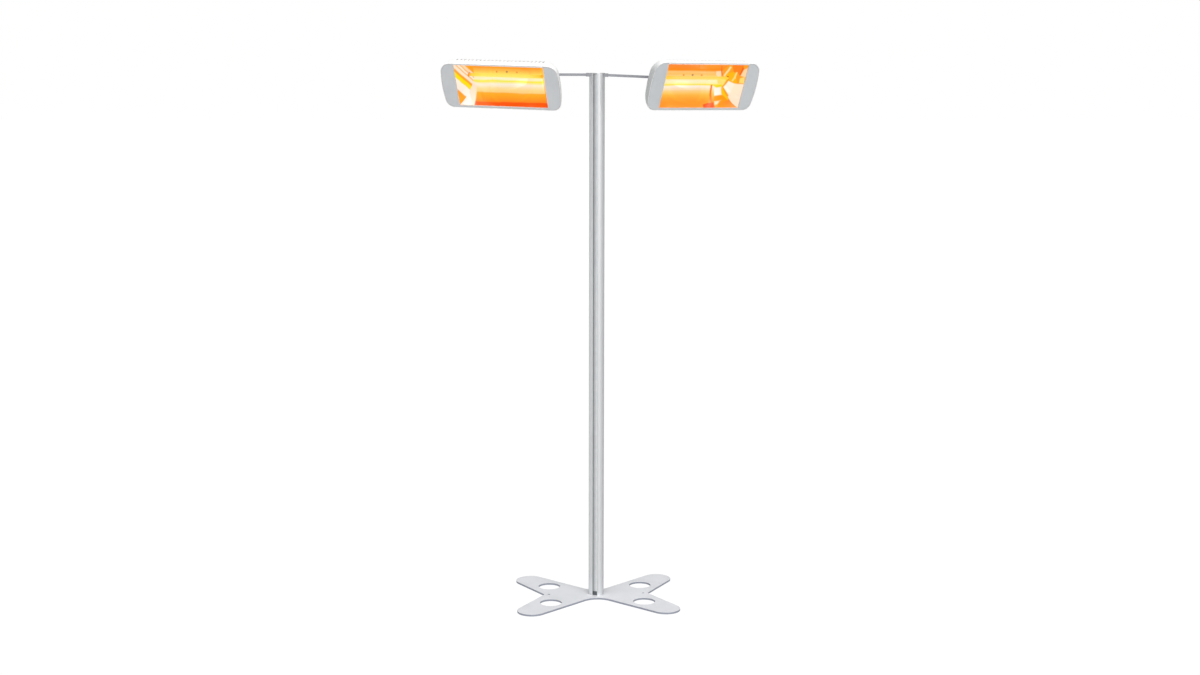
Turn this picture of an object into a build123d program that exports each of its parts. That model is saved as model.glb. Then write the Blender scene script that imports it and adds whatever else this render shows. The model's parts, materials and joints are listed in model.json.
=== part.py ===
from build123d import *
import math
import os

os.makedirs("parts", exist_ok=True)

# Infrared patio heater tower: a steel foot plate, a two-part aluminium pole with a cable
# channel, and two heater heads on arms that swivel and tilt.
# The floor is z = 0, the pole stands on the Z axis and the heads face -Y.
# All lengths are in millimetres and all angles in degrees.

# ---- Stand ----
tower_height = 2100.0
base_thickness = 8.0
lobe_centre_x = 264.0
lobe_centre_y = 202.0
lobe_radius = 58.0
side_notch_x = 209.0
side_notch_radius = 15.0
end_notch_y = 29.0
end_notch_radius = 70.0
hand_hole_x = 187.0
hand_hole_y = 110.5
hand_hole_diameter = 87.5
anchor_hole_x = 191.5
anchor_hole_diameter = 10.0
edge_break = 0.8

pole_diameter = 61.0
pole_wall = 2.5
channel_angle = 13.6
channel_width = 18.0
channel_floor = 21.0
channel_wall = 2.0
channel_step = 4.5
duct_wall = 1.2
cable_exit_height = 18.0
plug_length = 60.0
plug_wall = 9.0
joiner_length = 160.0
top_cap_thickness = 2.0

fit_gap = 0.15
thread_gap = 0.05
bolt_gap = 0.08

# ---- Arms ----
arm_width = 28.0
arm_thickness = 10.0
arm_depth_below_rim = 5.0
arm_gap = 12.0
arm_eye_diameter = 34.0
arm_eye_thickness = 12.0
collar_length = 12.0
collar_wall = 2.0

# ---- Swivel and tilt bracket ----
swivel_bolt_diameter = 10.0
swivel_head_width = 17.0
swivel_head_height = 6.4
swivel_disc_thickness = 1.5
bracket_sheet = 4.0
bracket_depth = 32.0
bracket_lug_gap = 0.15
tilt_ahead = 35.0
tilt_above = 25.0
tilt_bolt_diameter = 8.0
tilt_head_width = 13.0
tilt_head_height = 5.3
ear_radius = 12.0

# ---- Heater head: its front frame is four rails round the lamp's opening ----
opening_width = 348.8
opening_height = 182.0
end_rail = 54.4
top_rail = 3.5
low_rail = 6.5
face_bow = 10.0
face_top_radius = 40.0
face_low_radius = 31.0
bezel_thickness = 4.0
seal_width = 0.8
housing_wall = 2.2
housing_back = 113.0
rim_depth = 4.0
dome_depth = 114.0
dome_power = 1.75
dome_end_run = 129.0
dome_sections = 6
louvre_width = 5.0
louvre_pitch = 15.3
louvre_end = 55.0
louvre_front = 30.0
louvre_rear = 88.0
rim_notch_width = 5.0

reflector_sheet = 1.0
reflector_depth = 102.0
reflector_flat = 48.0
reflector_bulge_height = 68.0
reflector_bulge_depth = 65.0
end_mirror_slope = 42.0
reflector_hole_pitch = 40.0
reflector_hole_diameter = 4.4

lamp_depth = 76.0
lamp_tube_diameter = 12.0
lamp_tube_wall = 1.2
filament_diameter = 3.0
lamp_cap_diameter = 15.0
lamp_cap_length = 26.0
lamp_cap_overlap = 5.0
lamp_cap_gap = 1.0
holder_size = 24.0
holder_length = 18.0
holder_end = 4.0
holder_bracket_sheet = 1.5
terminal_length = 30.0
terminal_height = 24.0
terminal_thickness = 11.0

corner_post_inset = 34.0
corner_post_drop = 51.0
corner_post_diameter = 14.0
corner_pocket_depth = 60.0
corner_floor = 4.0
lug_pad_thickness = 7.0
lug_foot_width = 38.0
lug_foot_height = 38.0
lug_foot_thickness = 6.0
lug_barrel_diameter = 20.0
lug_screw_x = 13.0
lug_screw_z = 13.5
lug_reach = 18.0
gland_x = 75.0
gland_thread_diameter = 16.0
gland_hex_width = 19.0
gland_length = 21.0
gland_bore = 8.0

# ---- How each side stands in the photograph ----
# sign: which way the arm points. droop: how far it sags. yaw: the head's swivel, counter-
# clockwise from above. tilt: how far the face looks down. roll: clockwise from the front.
sides = {
    "left": {"sign": -1, "reach": 334.0, "droop": 0.0, "yaw": -15.3, "tilt": 33.1, "roll": 1.6},
    "right": {"sign": 1, "reach": 342.0, "droop": 2.4, "yaw": 22.9, "tilt": 24.8, "roll": 0.5},
}

# ---- Sizes that follow from those above ----
pole_radius = pole_diameter / 2
pole_bore_radius = pole_radius - pole_wall
pole_top = tower_height - top_cap_thickness
pole_length = (pole_top - base_thickness) / 2
pole_joint = base_thickness + pole_length
arm_height = pole_top - arm_depth_below_rim
channel_plane = Plane.XY.rotated((0, 0, -channel_angle))
rim_reach = seal_width + housing_wall
face_width = opening_width + 2 * end_rail
face_height = opening_height + top_rail + low_rail
opening_rise = (low_rail - top_rail) / 2
rim_width = face_width + 2 * rim_reach
rim_height = face_height + 2 * rim_reach
mouth_half = opening_height / 2
tilt_axis_depth = housing_back + lug_reach
swivel_stack = arm_eye_thickness / 2 + swivel_disc_thickness
bracket_inner_half = lug_foot_width / 2 + 4
corner_post_x = face_width / 2 - corner_post_inset
corner_post_z = face_height / 2 - corner_post_drop
louvre_count = 2 * int((rim_width / 2 - louvre_end) / louvre_pitch) + 1
mirror_shift = end_mirror_slope / (reflector_depth - bezel_thickness)
cap_edge_depth = lamp_depth - lamp_cap_diameter / 2 - bezel_thickness
cap_front = opening_width / 2 + reflector_sheet + lamp_cap_gap - mirror_shift * cap_edge_depth
cap_back = cap_front + lamp_cap_length
lamp_tube_half = cap_front + lamp_cap_overlap
holder_back = cap_back + holder_end
holder_front = holder_back - holder_length
bracket_back = holder_back + holder_bracket_sheet


def placed(solid, plane, name):
    """Put a finished piece on its plane, name it and write it."""
    piece = plane.from_local_coords(solid)
    piece.label = name
    export_step(piece, f"parts/{name}.step")
    return piece


def written(builder, name):
    """Name a piece that was made in place and write it."""
    builder.part.label = name
    export_step(builder.part, f"parts/{name}.step")


def socket_screw(diameter, length, head_diameter, head_height, socket):
    """Screw with a round head and a hexagon socket; its seat is z = 0 and it points down."""
    with BuildPart() as screw:
        with BuildSketch():
            Circle(head_diameter / 2)
        extrude(amount=head_height)
        fillet(screw.edges().filter_by(GeomType.CIRCLE).sort_by(Axis.Z)[-1], head_height * 0.3)
        with BuildSketch():
            Circle(diameter / 2)
        extrude(amount=-length)
        with BuildSketch(Plane.XY.offset(head_height)):
            RegularPolygon(socket / 2, 6, major_radius=False)
        extrude(amount=-head_height * 0.6, mode=Mode.SUBTRACT)
    return screw.part


def countersunk_screw(diameter, length, head_diameter, socket):
    """Screw with a flat cone head whose top is z = 0; it points down."""
    cone = (head_diameter - diameter) / 2
    with BuildPart() as screw:
        with BuildSketch(Plane.XZ):
            with BuildLine():
                Polyline(
                    (0, 0),
                    (head_diameter / 2, 0),
                    (diameter / 2, -cone),
                    (diameter / 2, -length),
                    (0, -length),
                    close=True,
                )
            make_face()
        revolve(axis=Axis.Z)
        with BuildSketch():
            RegularPolygon(socket / 2, 6, major_radius=False)
        extrude(amount=-cone * 0.8, mode=Mode.SUBTRACT)
    return screw.part


def hex_bolt(diameter, length, head_width, head_height):
    """Hexagon bolt whose seat is z = 0; it points down."""
    with BuildPart() as bolt:
        with BuildSketch():
            RegularPolygon(head_width / 2, 6, major_radius=False)
        extrude(amount=head_height)
        with BuildSketch():
            Circle(diameter / 2)
        extrude(amount=-length)
        chamfer(bolt.edges().filter_by(GeomType.CIRCLE).sort_by(Axis.Z)[0], diameter * 0.08)
    return bolt.part


def hex_nut(diameter, width, height):
    """Hexagon nut that stands on z = 0."""
    with BuildPart() as nut:
        with BuildSketch():
            RegularPolygon(width / 2, 6, major_radius=False)
            Circle(diameter / 2 + thread_gap, mode=Mode.SUBTRACT)
        extrude(amount=height)
    return nut.part


# ======== Stand ========

base_screw_angles = (-20, 55, 125, 200)
base_screw_radius = 19.5
base_screw_diameter = 8.0
base_screw_length = 26.0
base_screw_head = 15.0
base_screw_spots = []
for angle in base_screw_angles:
    turn = math.radians(angle - channel_angle)
    base_screw_spots.append(
        (base_screw_radius * math.cos(turn), base_screw_radius * math.sin(turn))
    )

# Foot plate: four lobes, each the hull of its end circle and the middle of the plate.
with BuildPart() as base_plate:
    with BuildSketch() as base_outline:
        with Locations((lobe_centre_x, lobe_centre_y)):
            Circle(lobe_radius)
        with BuildLine():
            Polyline((0, 0), (side_notch_x, 0), (0, end_notch_y), close=True)
        make_face()
        make_hull()
        mirror(about=Plane.YZ)
        mirror(about=Plane.XZ)
        corners = base_outline.vertices()
        fillet(corners.filter_by(lambda v: abs(v.Y) < 1 and abs(v.X) > 1), side_notch_radius)
        corners = base_outline.vertices()
        fillet(corners.filter_by(lambda v: abs(v.X) < 1 and abs(v.Y) > 1), end_notch_radius)
        with GridLocations(2 * hand_hole_x, 2 * hand_hole_y, 2, 2):
            Circle(hand_hole_diameter / 2, mode=Mode.SUBTRACT)
        with GridLocations(2 * anchor_hole_x, 0, 2, 1):
            Circle(anchor_hole_diameter / 2, mode=Mode.SUBTRACT)
    extrude(amount=base_thickness)
    chamfer(base_plate.edges().group_by(Axis.Z)[-1], edge_break)
    for x, y in base_screw_spots:
        with Locations(Pos(x, y, 0) * Rot(180, 0, 0)):
            CounterSinkHole(
                base_screw_diameter / 2 + fit_gap,
                base_screw_head / 2 + fit_gap,
                base_thickness * 2,
                90,
            )
written(base_plate, "base_plate")

base_screw = countersunk_screw(base_screw_diameter, base_screw_length, base_screw_head, 5.0)
with BuildPart() as base_screws:
    for x, y in base_screw_spots:
        add(Pos(x, y, 0) * Rot(180, 0, 0) * base_screw)
written(base_screws, "base_screws")


def pole_section():
    """Cross-section of the pole profile, with the channel's pocket open to the front."""
    box_width = channel_width + 2 * channel_wall
    box_floor = channel_floor - channel_wall
    Circle(pole_radius)
    Circle(pole_bore_radius, mode=Mode.SUBTRACT)
    with Locations((0, -(pole_radius + box_floor) / 2)):
        Rectangle(box_width, pole_radius - box_floor)
    Circle(pole_radius, mode=Mode.INTERSECT)
    with Locations((0, -(pole_radius + channel_floor) / 2)):
        Rectangle(channel_width, pole_radius - channel_floor, mode=Mode.SUBTRACT)
    with Locations((0, -pole_radius)):
        Rectangle(channel_width, pole_wall, mode=Mode.SUBTRACT)


def duct_section():
    """Hollow strip in the channel; its left edge lies back and its right edge is flush."""
    half = channel_width / 2 - fit_gap
    flush = math.sqrt(pole_radius**2 - (channel_width / 2) ** 2)
    recessed = flush - channel_step
    middle = (flush + recessed) / 2 + channel_step / 4
    with BuildLine() as rim:
        ThreePointArc((-half, -recessed), (0, -middle), (half, -flush))
        Polyline((half, -flush), (half, -channel_floor), (-half, -channel_floor), (-half, -recessed))
    make_face(rim.edges())
    offset(amount=-duct_wall, mode=Mode.SUBTRACT)


def plug_section(gap):
    """What fits inside the pole beside the channel."""
    box_width = channel_width + 2 * channel_wall + 2 * gap
    box_floor = channel_floor - channel_wall - gap
    Circle(pole_bore_radius - gap)
    with Locations((0, -(pole_radius + box_floor) / 2)):
        Rectangle(box_width, pole_radius - box_floor, mode=Mode.SUBTRACT)


# Button-head screws hold the plugs inside the pole, two at each height, at the pole's back.
pole_screw_angles = (60, 120)
pole_screw_diameter = 6.0
pole_screw_length = 9.0
pole_screw_head = 10.5
spot_depth = 0.5
pole_screw_rise = plug_length / 2
pole_screw_heights = (
    base_thickness + pole_screw_rise,
    pole_joint - joiner_length / 4,
    pole_joint + joiner_length / 4,
    pole_top - plug_length + pole_screw_rise / 2,
)


def pole_screw_planes(low, high):
    """Planes of the screw seats between two heights, looking out of the pole."""
    planes = []
    for height in pole_screw_heights:
        for angle in pole_screw_angles:
            out = Vector(math.cos(math.radians(angle)), math.sin(math.radians(angle)), 0)
            seat = out * (pole_radius - spot_depth) + Vector(0, 0, height)
            if low < height < high:
                planes.append(Plane(seat, z_dir=out))
    return planes


def cut_screw_seats(low, high):
    """Spot-faced clearance holes in the pole wall."""
    for plane in pole_screw_planes(low, high):
        with BuildSketch(plane) as spot_face:
            Circle(pole_screw_head / 2 + fit_gap)
        extrude(spot_face.sketch, amount=pole_wall, mode=Mode.SUBTRACT)
        with BuildSketch(plane) as clearance:
            Circle(pole_screw_diameter / 2 + fit_gap)
        extrude(clearance.sketch, amount=-2 * pole_wall, mode=Mode.SUBTRACT)


def cut_thread_holes(low, high):
    """Holes in a plug for the same screws."""
    for plane in pole_screw_planes(low, high):
        with BuildSketch(plane) as thread:
            Circle(pole_screw_diameter / 2 + thread_gap)
        extrude(thread.sketch, amount=-(pole_screw_length + 2), mode=Mode.SUBTRACT)


arm_planes = {}
for name, side in sides.items():
    droop = math.radians(side["droop"])
    along = (side["sign"] * math.cos(droop), 0, -math.sin(droop))
    upward = (side["sign"] * math.sin(droop), 0, math.cos(droop))
    arm_planes[name] = Plane((0, 0, arm_height), x_dir=along, z_dir=upward)


def cut_arm_slots(inner, outer):
    """Slots for both arms, open at the top, between two distances from the pole's axis."""
    for plane in arm_planes.values():
        with BuildSketch(plane.offset(-arm_thickness / 2)) as slot:
            with Locations(((inner + outer) / 2, 0)):
                Rectangle(outer - inner, arm_width + 2 * fit_gap)
        extrude(slot.sketch, amount=2 * arm_thickness, mode=Mode.SUBTRACT)


with BuildPart() as foot_plug:
    with BuildSketch(channel_plane.offset(base_thickness)):
        plug_section(fit_gap)
    extrude(amount=plug_length)
    with BuildSketch(Plane.XY.offset(base_thickness)):
        with Locations(*base_screw_spots):
            Circle(base_screw_diameter / 2 + thread_gap)
    extrude(amount=base_screw_length, mode=Mode.SUBTRACT)
    cut_thread_holes(base_thickness, base_thickness + plug_length)
written(foot_plug, "foot_plug")

with BuildPart() as lower_pole:
    with BuildSketch(channel_plane.offset(base_thickness)):
        pole_section()
    extrude(amount=pole_length)
    cut_screw_seats(base_thickness, pole_joint)
written(lower_pole, "lower_pole")

with BuildPart() as lower_duct:
    with BuildSketch(channel_plane.offset(base_thickness + cable_exit_height)):
        duct_section()
    extrude(amount=pole_length - cable_exit_height)
written(lower_duct, "lower_cable_duct")

with BuildPart() as pole_joiner:
    with BuildSketch(channel_plane.offset(pole_joint - joiner_length / 2)):
        plug_section(fit_gap)
        offset(amount=-plug_wall, mode=Mode.SUBTRACT)
    extrude(amount=joiner_length)
    cut_thread_holes(pole_joint - joiner_length / 2, pole_joint + joiner_length / 2)
written(pole_joiner, "pole_joiner")

with BuildPart() as upper_pole:
    with BuildSketch(channel_plane.offset(pole_joint)):
        pole_section()
    extrude(amount=pole_length)
    cut_screw_seats(pole_joint, pole_top)
    cut_arm_slots(pole_bore_radius - 8, pole_radius + 4)
written(upper_pole, "upper_pole")

with BuildPart() as upper_duct:
    with BuildSketch(channel_plane.offset(pole_joint)):
        duct_section()
    extrude(amount=pole_length)
written(upper_duct, "upper_cable_duct")

pole_screw = socket_screw(pole_screw_diameter, pole_screw_length, pole_screw_head, 3.3, 4.0)
with BuildPart() as pole_screws:
    for plane in pole_screw_planes(base_thickness, pole_top):
        add(plane.from_local_coords(pole_screw))
written(pole_screws, "pole_screws")

# Block in the pole's top that holds both arms in open channels.
arm_screw_x = 17.0
arm_screw_y = 8.0
arm_screw_diameter = 5.0
arm_screw_length = 20.0
arm_screw_head = 9.0
cap_screw_diameter = 4.0
cap_screw_length = 14.0
cap_screw_head = 7.5
with BuildPart() as crosshead:
    with BuildSketch(channel_plane.offset(pole_top - plug_length)):
        plug_section(fit_gap)
    extrude(amount=plug_length)
    cut_arm_slots(arm_gap / 2, pole_radius + 4)
    for plane in arm_planes.values():
        with BuildSketch(plane):
            with Locations((arm_screw_x, arm_screw_y), (arm_screw_x, -arm_screw_y)):
                Circle(arm_screw_diameter / 2 + thread_gap)
        extrude(amount=-arm_screw_length, mode=Mode.SUBTRACT)
    with BuildSketch(Plane.XY.offset(pole_top)):
        Circle(cap_screw_diameter / 2 + thread_gap)
    extrude(amount=-cap_screw_length, mode=Mode.SUBTRACT)
    cut_thread_holes(pole_top - plug_length, pole_top)
written(crosshead, "crosshead")

with BuildPart() as top_cap:
    with BuildSketch(Plane.XY.offset(pole_top)):
        Circle(pole_radius)
    extrude(amount=top_cap_thickness)
    fillet(top_cap.edges().group_by(Axis.Z)[-1], top_cap_thickness * 0.4)
    with Locations((0, 0, tower_height)):
        CounterSinkHole(cap_screw_diameter / 2 + fit_gap, cap_screw_head / 2 + fit_gap)
written(top_cap, "top_cap")

cap_screw = countersunk_screw(cap_screw_diameter, cap_screw_length, cap_screw_head, 2.5)
placed(cap_screw, Plane.XY.offset(tower_height), "cap_screw")

arm_screw = countersunk_screw(arm_screw_diameter, arm_screw_length, arm_screw_head, 3.0)
with BuildPart() as arm_screws:
    for plane in arm_planes.values():
        for across in (arm_screw_y, -arm_screw_y):
            seat = plane.offset(arm_thickness / 2)
            add(seat.from_local_coords(Pos(arm_screw_x, across, 0) * arm_screw))
written(arm_screws, "arm_screws")

with BuildPart() as arm_collars:
    for plane in arm_planes.values():
        with BuildSketch(plane.offset(-arm_thickness / 2 - collar_wall)):
            with Locations((pole_radius + collar_length / 2 - 2, 0)):
                Rectangle(collar_length + 4, arm_width + 2 * collar_wall)
        extrude(amount=arm_thickness + 2 * collar_wall)
    fillet(arm_collars.edges().filter_by(Axis.Z), collar_wall * 0.4)
    for plane in arm_planes.values():
        with BuildSketch(plane.offset(-arm_thickness / 2)):
            with Locations((pole_radius + collar_length, 0)):
                Rectangle(collar_length * 4, arm_width)
        extrude(amount=arm_thickness, mode=Mode.SUBTRACT)
    with BuildSketch():
        Circle(pole_radius + fit_gap)
    extrude(amount=tower_height * 2, mode=Mode.SUBTRACT)
written(arm_collars, "arm_collars")


# ======== Pieces of one heater head ========
# Each is made once in the head's own frame: the middle of the face is the origin, X runs
# along the head, -Y is the way that it shines and Z is up the face.


def head_outline(depth, inset):
    """Outline of the head at a depth behind its rim; it closes in towards the back."""
    share = depth / (dome_depth - inset)
    half_height = (rim_height / 2 - inset) * (1 - share**dome_power) ** (1 / dome_power)
    straight = rim_width / 2 - dome_end_run
    half_width = straight + (dome_end_run - inset) * math.sqrt(1 - share**2)
    shoulder = half_width - face_bow * 2 * half_height / rim_height
    with BuildLine() as edge:
        Line((-shoulder, half_height), (shoulder, half_height))
        ThreePointArc((shoulder, half_height), (half_width, 0), (shoulder, -half_height))
        Line((shoulder, -half_height), (-shoulder, -half_height))
        ThreePointArc((-shoulder, -half_height), (-half_width, 0), (-shoulder, half_height))
    make_face(edge.edges())
    top_radius = half_height * (2 * face_top_radius / face_height + share * 0.35)
    low_radius = half_height * (2 * face_low_radius / face_height + share * 0.4)
    fillet(vertices().group_by(Axis.Y)[-1], top_radius)
    fillet(vertices().group_by(Axis.Y)[0], low_radius)


def dome(inset):
    """Solid of the housing's outside, or of its hollow when it is drawn in by the wall."""
    run = housing_back - rim_depth - inset
    with BuildPart() as solid:
        with BuildSketch(Plane.XZ):
            head_outline(0, inset)
        extrude(amount=-rim_depth)
        for step in range(dome_sections + 1):
            depth = run * math.sin(math.pi / 2 * step / dome_sections)
            with BuildSketch(Plane.XZ.offset(-(rim_depth + depth))):
                head_outline(depth, inset)
        loft()
    return solid.part


dome_outside = dome(0)
dome_hollow = dome(housing_wall)
corner_spots = [(x, z) for x in (corner_post_x, -corner_post_x) for z in (corner_post_z, -corner_post_z)]
lug_screw_spots = [(x, z) for x in (lug_screw_x, -lug_screw_x) for z in (lug_screw_z, -lug_screw_z)]
reflector_screw_spots = [(reflector_hole_pitch, opening_rise), (-reflector_hole_pitch, opening_rise)]
standoff_front = reflector_depth + reflector_sheet
standoff_length = housing_back - housing_wall - standoff_front

with BuildPart() as corner_posts:
    with BuildSketch(Plane.XZ.offset(-(corner_pocket_depth - corner_floor))):
        with Locations(*corner_spots):
            Circle(corner_post_diameter / 2)
    extrude(amount=-housing_back)
    add(dome_outside, mode=Mode.INTERSECT)

corner_screw_diameter = 4.0
corner_screw_head = 8.0
corner_screw_length = 16.0
lug_screw_diameter = 5.0
lug_screw_head = 8.5
lug_screw_length = 12.0
reflector_screw_diameter = 4.0
reflector_screw_length = 8.0
with BuildPart() as housing:
    add(dome_outside)
    add(dome_hollow, mode=Mode.SUBTRACT)
    add(corner_posts.part)
    with BuildSketch(Plane.XZ.offset(-corner_pocket_depth)):
        with Locations(*corner_spots):
            Circle(corner_screw_head / 2 + 0.75)
    extrude(amount=-housing_back, mode=Mode.SUBTRACT)
    with BuildSketch(Plane.XZ):
        with Locations(*corner_spots):
            Circle(corner_screw_diameter / 2 + fit_gap)
    extrude(amount=-housing_back, mode=Mode.SUBTRACT)
    with BuildSketch(Plane.XZ.offset(-(housing_back - lug_pad_thickness))):
        RectangleRounded(lug_foot_width, lug_foot_height, 3)
    extrude(amount=-lug_pad_thickness)
    with BuildSketch(Plane.XZ.offset(-standoff_front)):
        with Locations(*reflector_screw_spots):
            Circle(reflector_screw_diameter)
    extrude(amount=-standoff_length)
    with BuildSketch(Plane.XZ.offset(-standoff_front)):
        with Locations(*reflector_screw_spots):
            Circle(reflector_screw_diameter / 2 + thread_gap)
    extrude(amount=-standoff_length, mode=Mode.SUBTRACT)
    with BuildSketch(Plane.XZ.offset(-housing_back)):
        with Locations(*lug_screw_spots):
            Circle(lug_screw_diameter / 2 + thread_gap)
        with Locations((gland_x, 0)):
            Circle(gland_thread_diameter / 2 + fit_gap)
    extrude(amount=lug_pad_thickness - 0.5, mode=Mode.SUBTRACT)
    for direction in (1, -1):
        with BuildSketch(Plane.XY.offset(direction * rim_height / 5)):
            with Locations((0, (louvre_front + louvre_rear) / 2)):
                with GridLocations(louvre_pitch, 0, louvre_count, 1):
                    SlotOverall(louvre_rear - louvre_front, louvre_width, rotation=90)
        extrude(amount=direction * rim_height, mode=Mode.SUBTRACT)
    with BuildSketch(Plane.XZ):
        with Locations((0, -rim_height / 2)):
            with GridLocations(louvre_pitch * 2, 0, louvre_count // 2, 1):
                Rectangle(rim_notch_width, housing_wall)
    extrude(amount=-rim_depth / 2, mode=Mode.SUBTRACT)

# Flat grey front frame, with bosses behind it for the screws from the back.
with BuildPart() as bezel:
    with BuildSketch(Plane.XZ):
        head_outline(0, rim_reach)
        with Locations((0, opening_rise)):
            Rectangle(opening_width, opening_height, mode=Mode.SUBTRACT)
    extrude(amount=-bezel_thickness)
    with BuildSketch(Plane.XZ.offset(-bezel_thickness)):
        with Locations(*corner_spots):
            Circle(corner_post_diameter / 2 - 2)
    extrude(amount=-(corner_pocket_depth - corner_floor - bezel_thickness))
    with BuildSketch(Plane.XZ.offset(-(corner_pocket_depth - corner_floor))):
        with Locations(*corner_spots):
            Circle(corner_screw_diameter / 2 + thread_gap)
    extrude(amount=corner_screw_length, mode=Mode.SUBTRACT)

# Black seal in the gap round the front frame.
with BuildPart() as bezel_seal:
    with BuildSketch(Plane.XZ.offset(-bezel_thickness / 4)):
        head_outline(0, housing_wall)
    extrude(amount=-bezel_thickness * 0.75)
    with BuildSketch(Plane.XZ):
        head_outline(0, rim_reach)
    extrude(amount=-bezel_thickness, mode=Mode.SUBTRACT)

bezel_screw = socket_screw(corner_screw_diameter, corner_screw_length, corner_screw_head, 2.6, 2.5)
with BuildPart() as bezel_screws:
    for x, z in corner_spots:
        add(Pos(x, corner_pocket_depth, z) * Rot(-90, 0, 0) * bezel_screw)


def trough_profile(extra):
    """Closed section of the reflector's inside, grown by a sheet thickness."""
    flat = reflector_flat / 2
    bulge = reflector_bulge_height
    with BuildLine() as profile:
        Line((bezel_thickness, mouth_half), (bezel_thickness, -mouth_half))
        ThreePointArc(
            (bezel_thickness, -mouth_half),
            (reflector_bulge_depth, -bulge),
            (reflector_depth, -flat),
        )
        Line((reflector_depth, -flat), (reflector_depth, flat))
        ThreePointArc(
            (reflector_depth, flat),
            (reflector_bulge_depth, bulge),
            (bezel_thickness, mouth_half),
        )
    make_face(profile.edges())
    if extra > 0:
        offset(amount=extra, kind=Kind.INTERSECTION, mode=Mode.REPLACE)


def trough_ends(extra):
    """Plan of the reflector between its slanted ends, grown outwards by a sheet thickness."""
    mouth = opening_width / 2 + extra
    shift = mirror_shift * (reflector_depth + 2 * reflector_sheet - bezel_thickness)
    deep = mouth - shift
    behind = reflector_depth + 2 * reflector_sheet
    Polygon(
        (-mouth, bezel_thickness),
        (mouth, bezel_thickness),
        (deep, behind),
        (-deep, behind),
        align=None,
    )


optic_plane = Plane((0, 0, opening_rise), x_dir=(0, 1, 0), z_dir=(1, 0, 0))

with BuildPart() as reflector:
    with BuildSketch(optic_plane):
        trough_profile(reflector_sheet)
    extrude(amount=opening_width, both=True)
    with BuildSketch(optic_plane):
        trough_profile(0)
    extrude(amount=opening_width, both=True, mode=Mode.SUBTRACT)
    with BuildSketch(Plane.XY):
        trough_ends(0)
    extrude(amount=rim_height, both=True, mode=Mode.INTERSECT)
    with BuildSketch(Plane.XZ.offset(-reflector_depth)):
        with Locations(*reflector_screw_spots, (0, opening_rise)):
            Circle(reflector_hole_diameter / 2)
    extrude(amount=-2 * reflector_sheet, mode=Mode.SUBTRACT)

# Slanted end mirrors, with a hole that the lamp passes through.
with BuildPart() as end_mirrors:
    with BuildSketch(optic_plane):
        trough_profile(reflector_sheet)
    extrude(amount=opening_width, both=True)
    with BuildSketch(Plane.XY):
        trough_ends(reflector_sheet)
    extrude(amount=rim_height, both=True, mode=Mode.INTERSECT)
    with BuildSketch(Plane.XY):
        trough_ends(0)
    extrude(amount=rim_height, both=True, mode=Mode.SUBTRACT)
    with BuildSketch(optic_plane):
        with Locations((lamp_depth, 0)):
            Circle(lamp_tube_diameter / 2 + 2)
    extrude(amount=opening_width, both=True, mode=Mode.SUBTRACT)

reflector_screw = socket_screw(reflector_screw_diameter, reflector_screw_length, 8.0, 2.2, 2.5)
with BuildPart() as reflector_screws:
    for x, z in reflector_screw_spots:
        add(Pos(x, reflector_depth, z) * Rot(90, 0, 0) * reflector_screw)

with BuildPart() as lamp_tube:
    with BuildSketch(optic_plane):
        with Locations((lamp_depth, 0)):
            Circle(lamp_tube_diameter / 2)
            Circle(lamp_tube_diameter / 2 - lamp_tube_wall, mode=Mode.SUBTRACT)
    extrude(amount=lamp_tube_half, both=True)

with BuildPart() as filament:
    with BuildSketch(optic_plane):
        with Locations((lamp_depth, 0)):
            Circle(filament_diameter / 2)
    extrude(amount=lamp_tube_half, both=True)

with BuildPart() as lamp_caps:
    for direction in (1, -1):
        with BuildSketch(optic_plane.offset(direction * cap_front)):
            with Locations((lamp_depth, 0)):
                Circle(lamp_cap_diameter / 2)
        extrude(amount=direction * lamp_cap_length)
        with BuildSketch(optic_plane.offset(direction * cap_front)):
            with Locations((lamp_depth, 0)):
                Circle(lamp_tube_diameter / 2)
        extrude(amount=direction * lamp_cap_overlap, mode=Mode.SUBTRACT)

with BuildPart() as lamp_holders:
    for direction in (1, -1):
        with BuildSketch(optic_plane.offset(direction * holder_front)):
            with Locations((lamp_depth, 0)):
                RectangleRounded(holder_size, holder_size, 3)
        extrude(amount=direction * holder_length)
        with BuildSketch(optic_plane.offset(direction * holder_front)):
            with Locations((lamp_depth, 0)):
                Circle(lamp_cap_diameter / 2 + fit_gap)
        extrude(amount=direction * (cap_back - holder_front), mode=Mode.SUBTRACT)

bracket_tail = lamp_depth + holder_size / 2
bracket_foot = 12.0
with BuildPart() as holder_brackets:
    for direction in (1, -1):
        with BuildSketch(Plane.XY.offset(opening_rise)):
            with BuildLine():
                Polyline(
                    (direction * holder_back, bracket_tail),
                    (direction * holder_back, bezel_thickness),
                    (direction * (holder_back + bracket_foot), bezel_thickness),
                    (direction * (holder_back + bracket_foot), bezel_thickness + holder_bracket_sheet),
                    (direction * bracket_back, bezel_thickness + holder_bracket_sheet),
                    (direction * bracket_back, bracket_tail),
                    close=True,
                )
            make_face()
        extrude(amount=holder_size / 2, both=True)

with BuildPart() as terminal_block:
    with BuildSketch(optic_plane.offset(bracket_back)):
        with Locations((bezel_thickness + holder_bracket_sheet + 4 + terminal_length / 2, 0)):
            Rectangle(terminal_length, terminal_height)
    extrude(amount=terminal_thickness)
    with BuildSketch(Plane.XZ.offset(-(bezel_thickness + holder_bracket_sheet + 4))):
        with Locations((bracket_back + terminal_thickness / 2, opening_rise)):
            with GridLocations(0, terminal_height / 3, 1, 3):
                Circle(2)
    extrude(amount=-terminal_length, mode=Mode.SUBTRACT)

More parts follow.
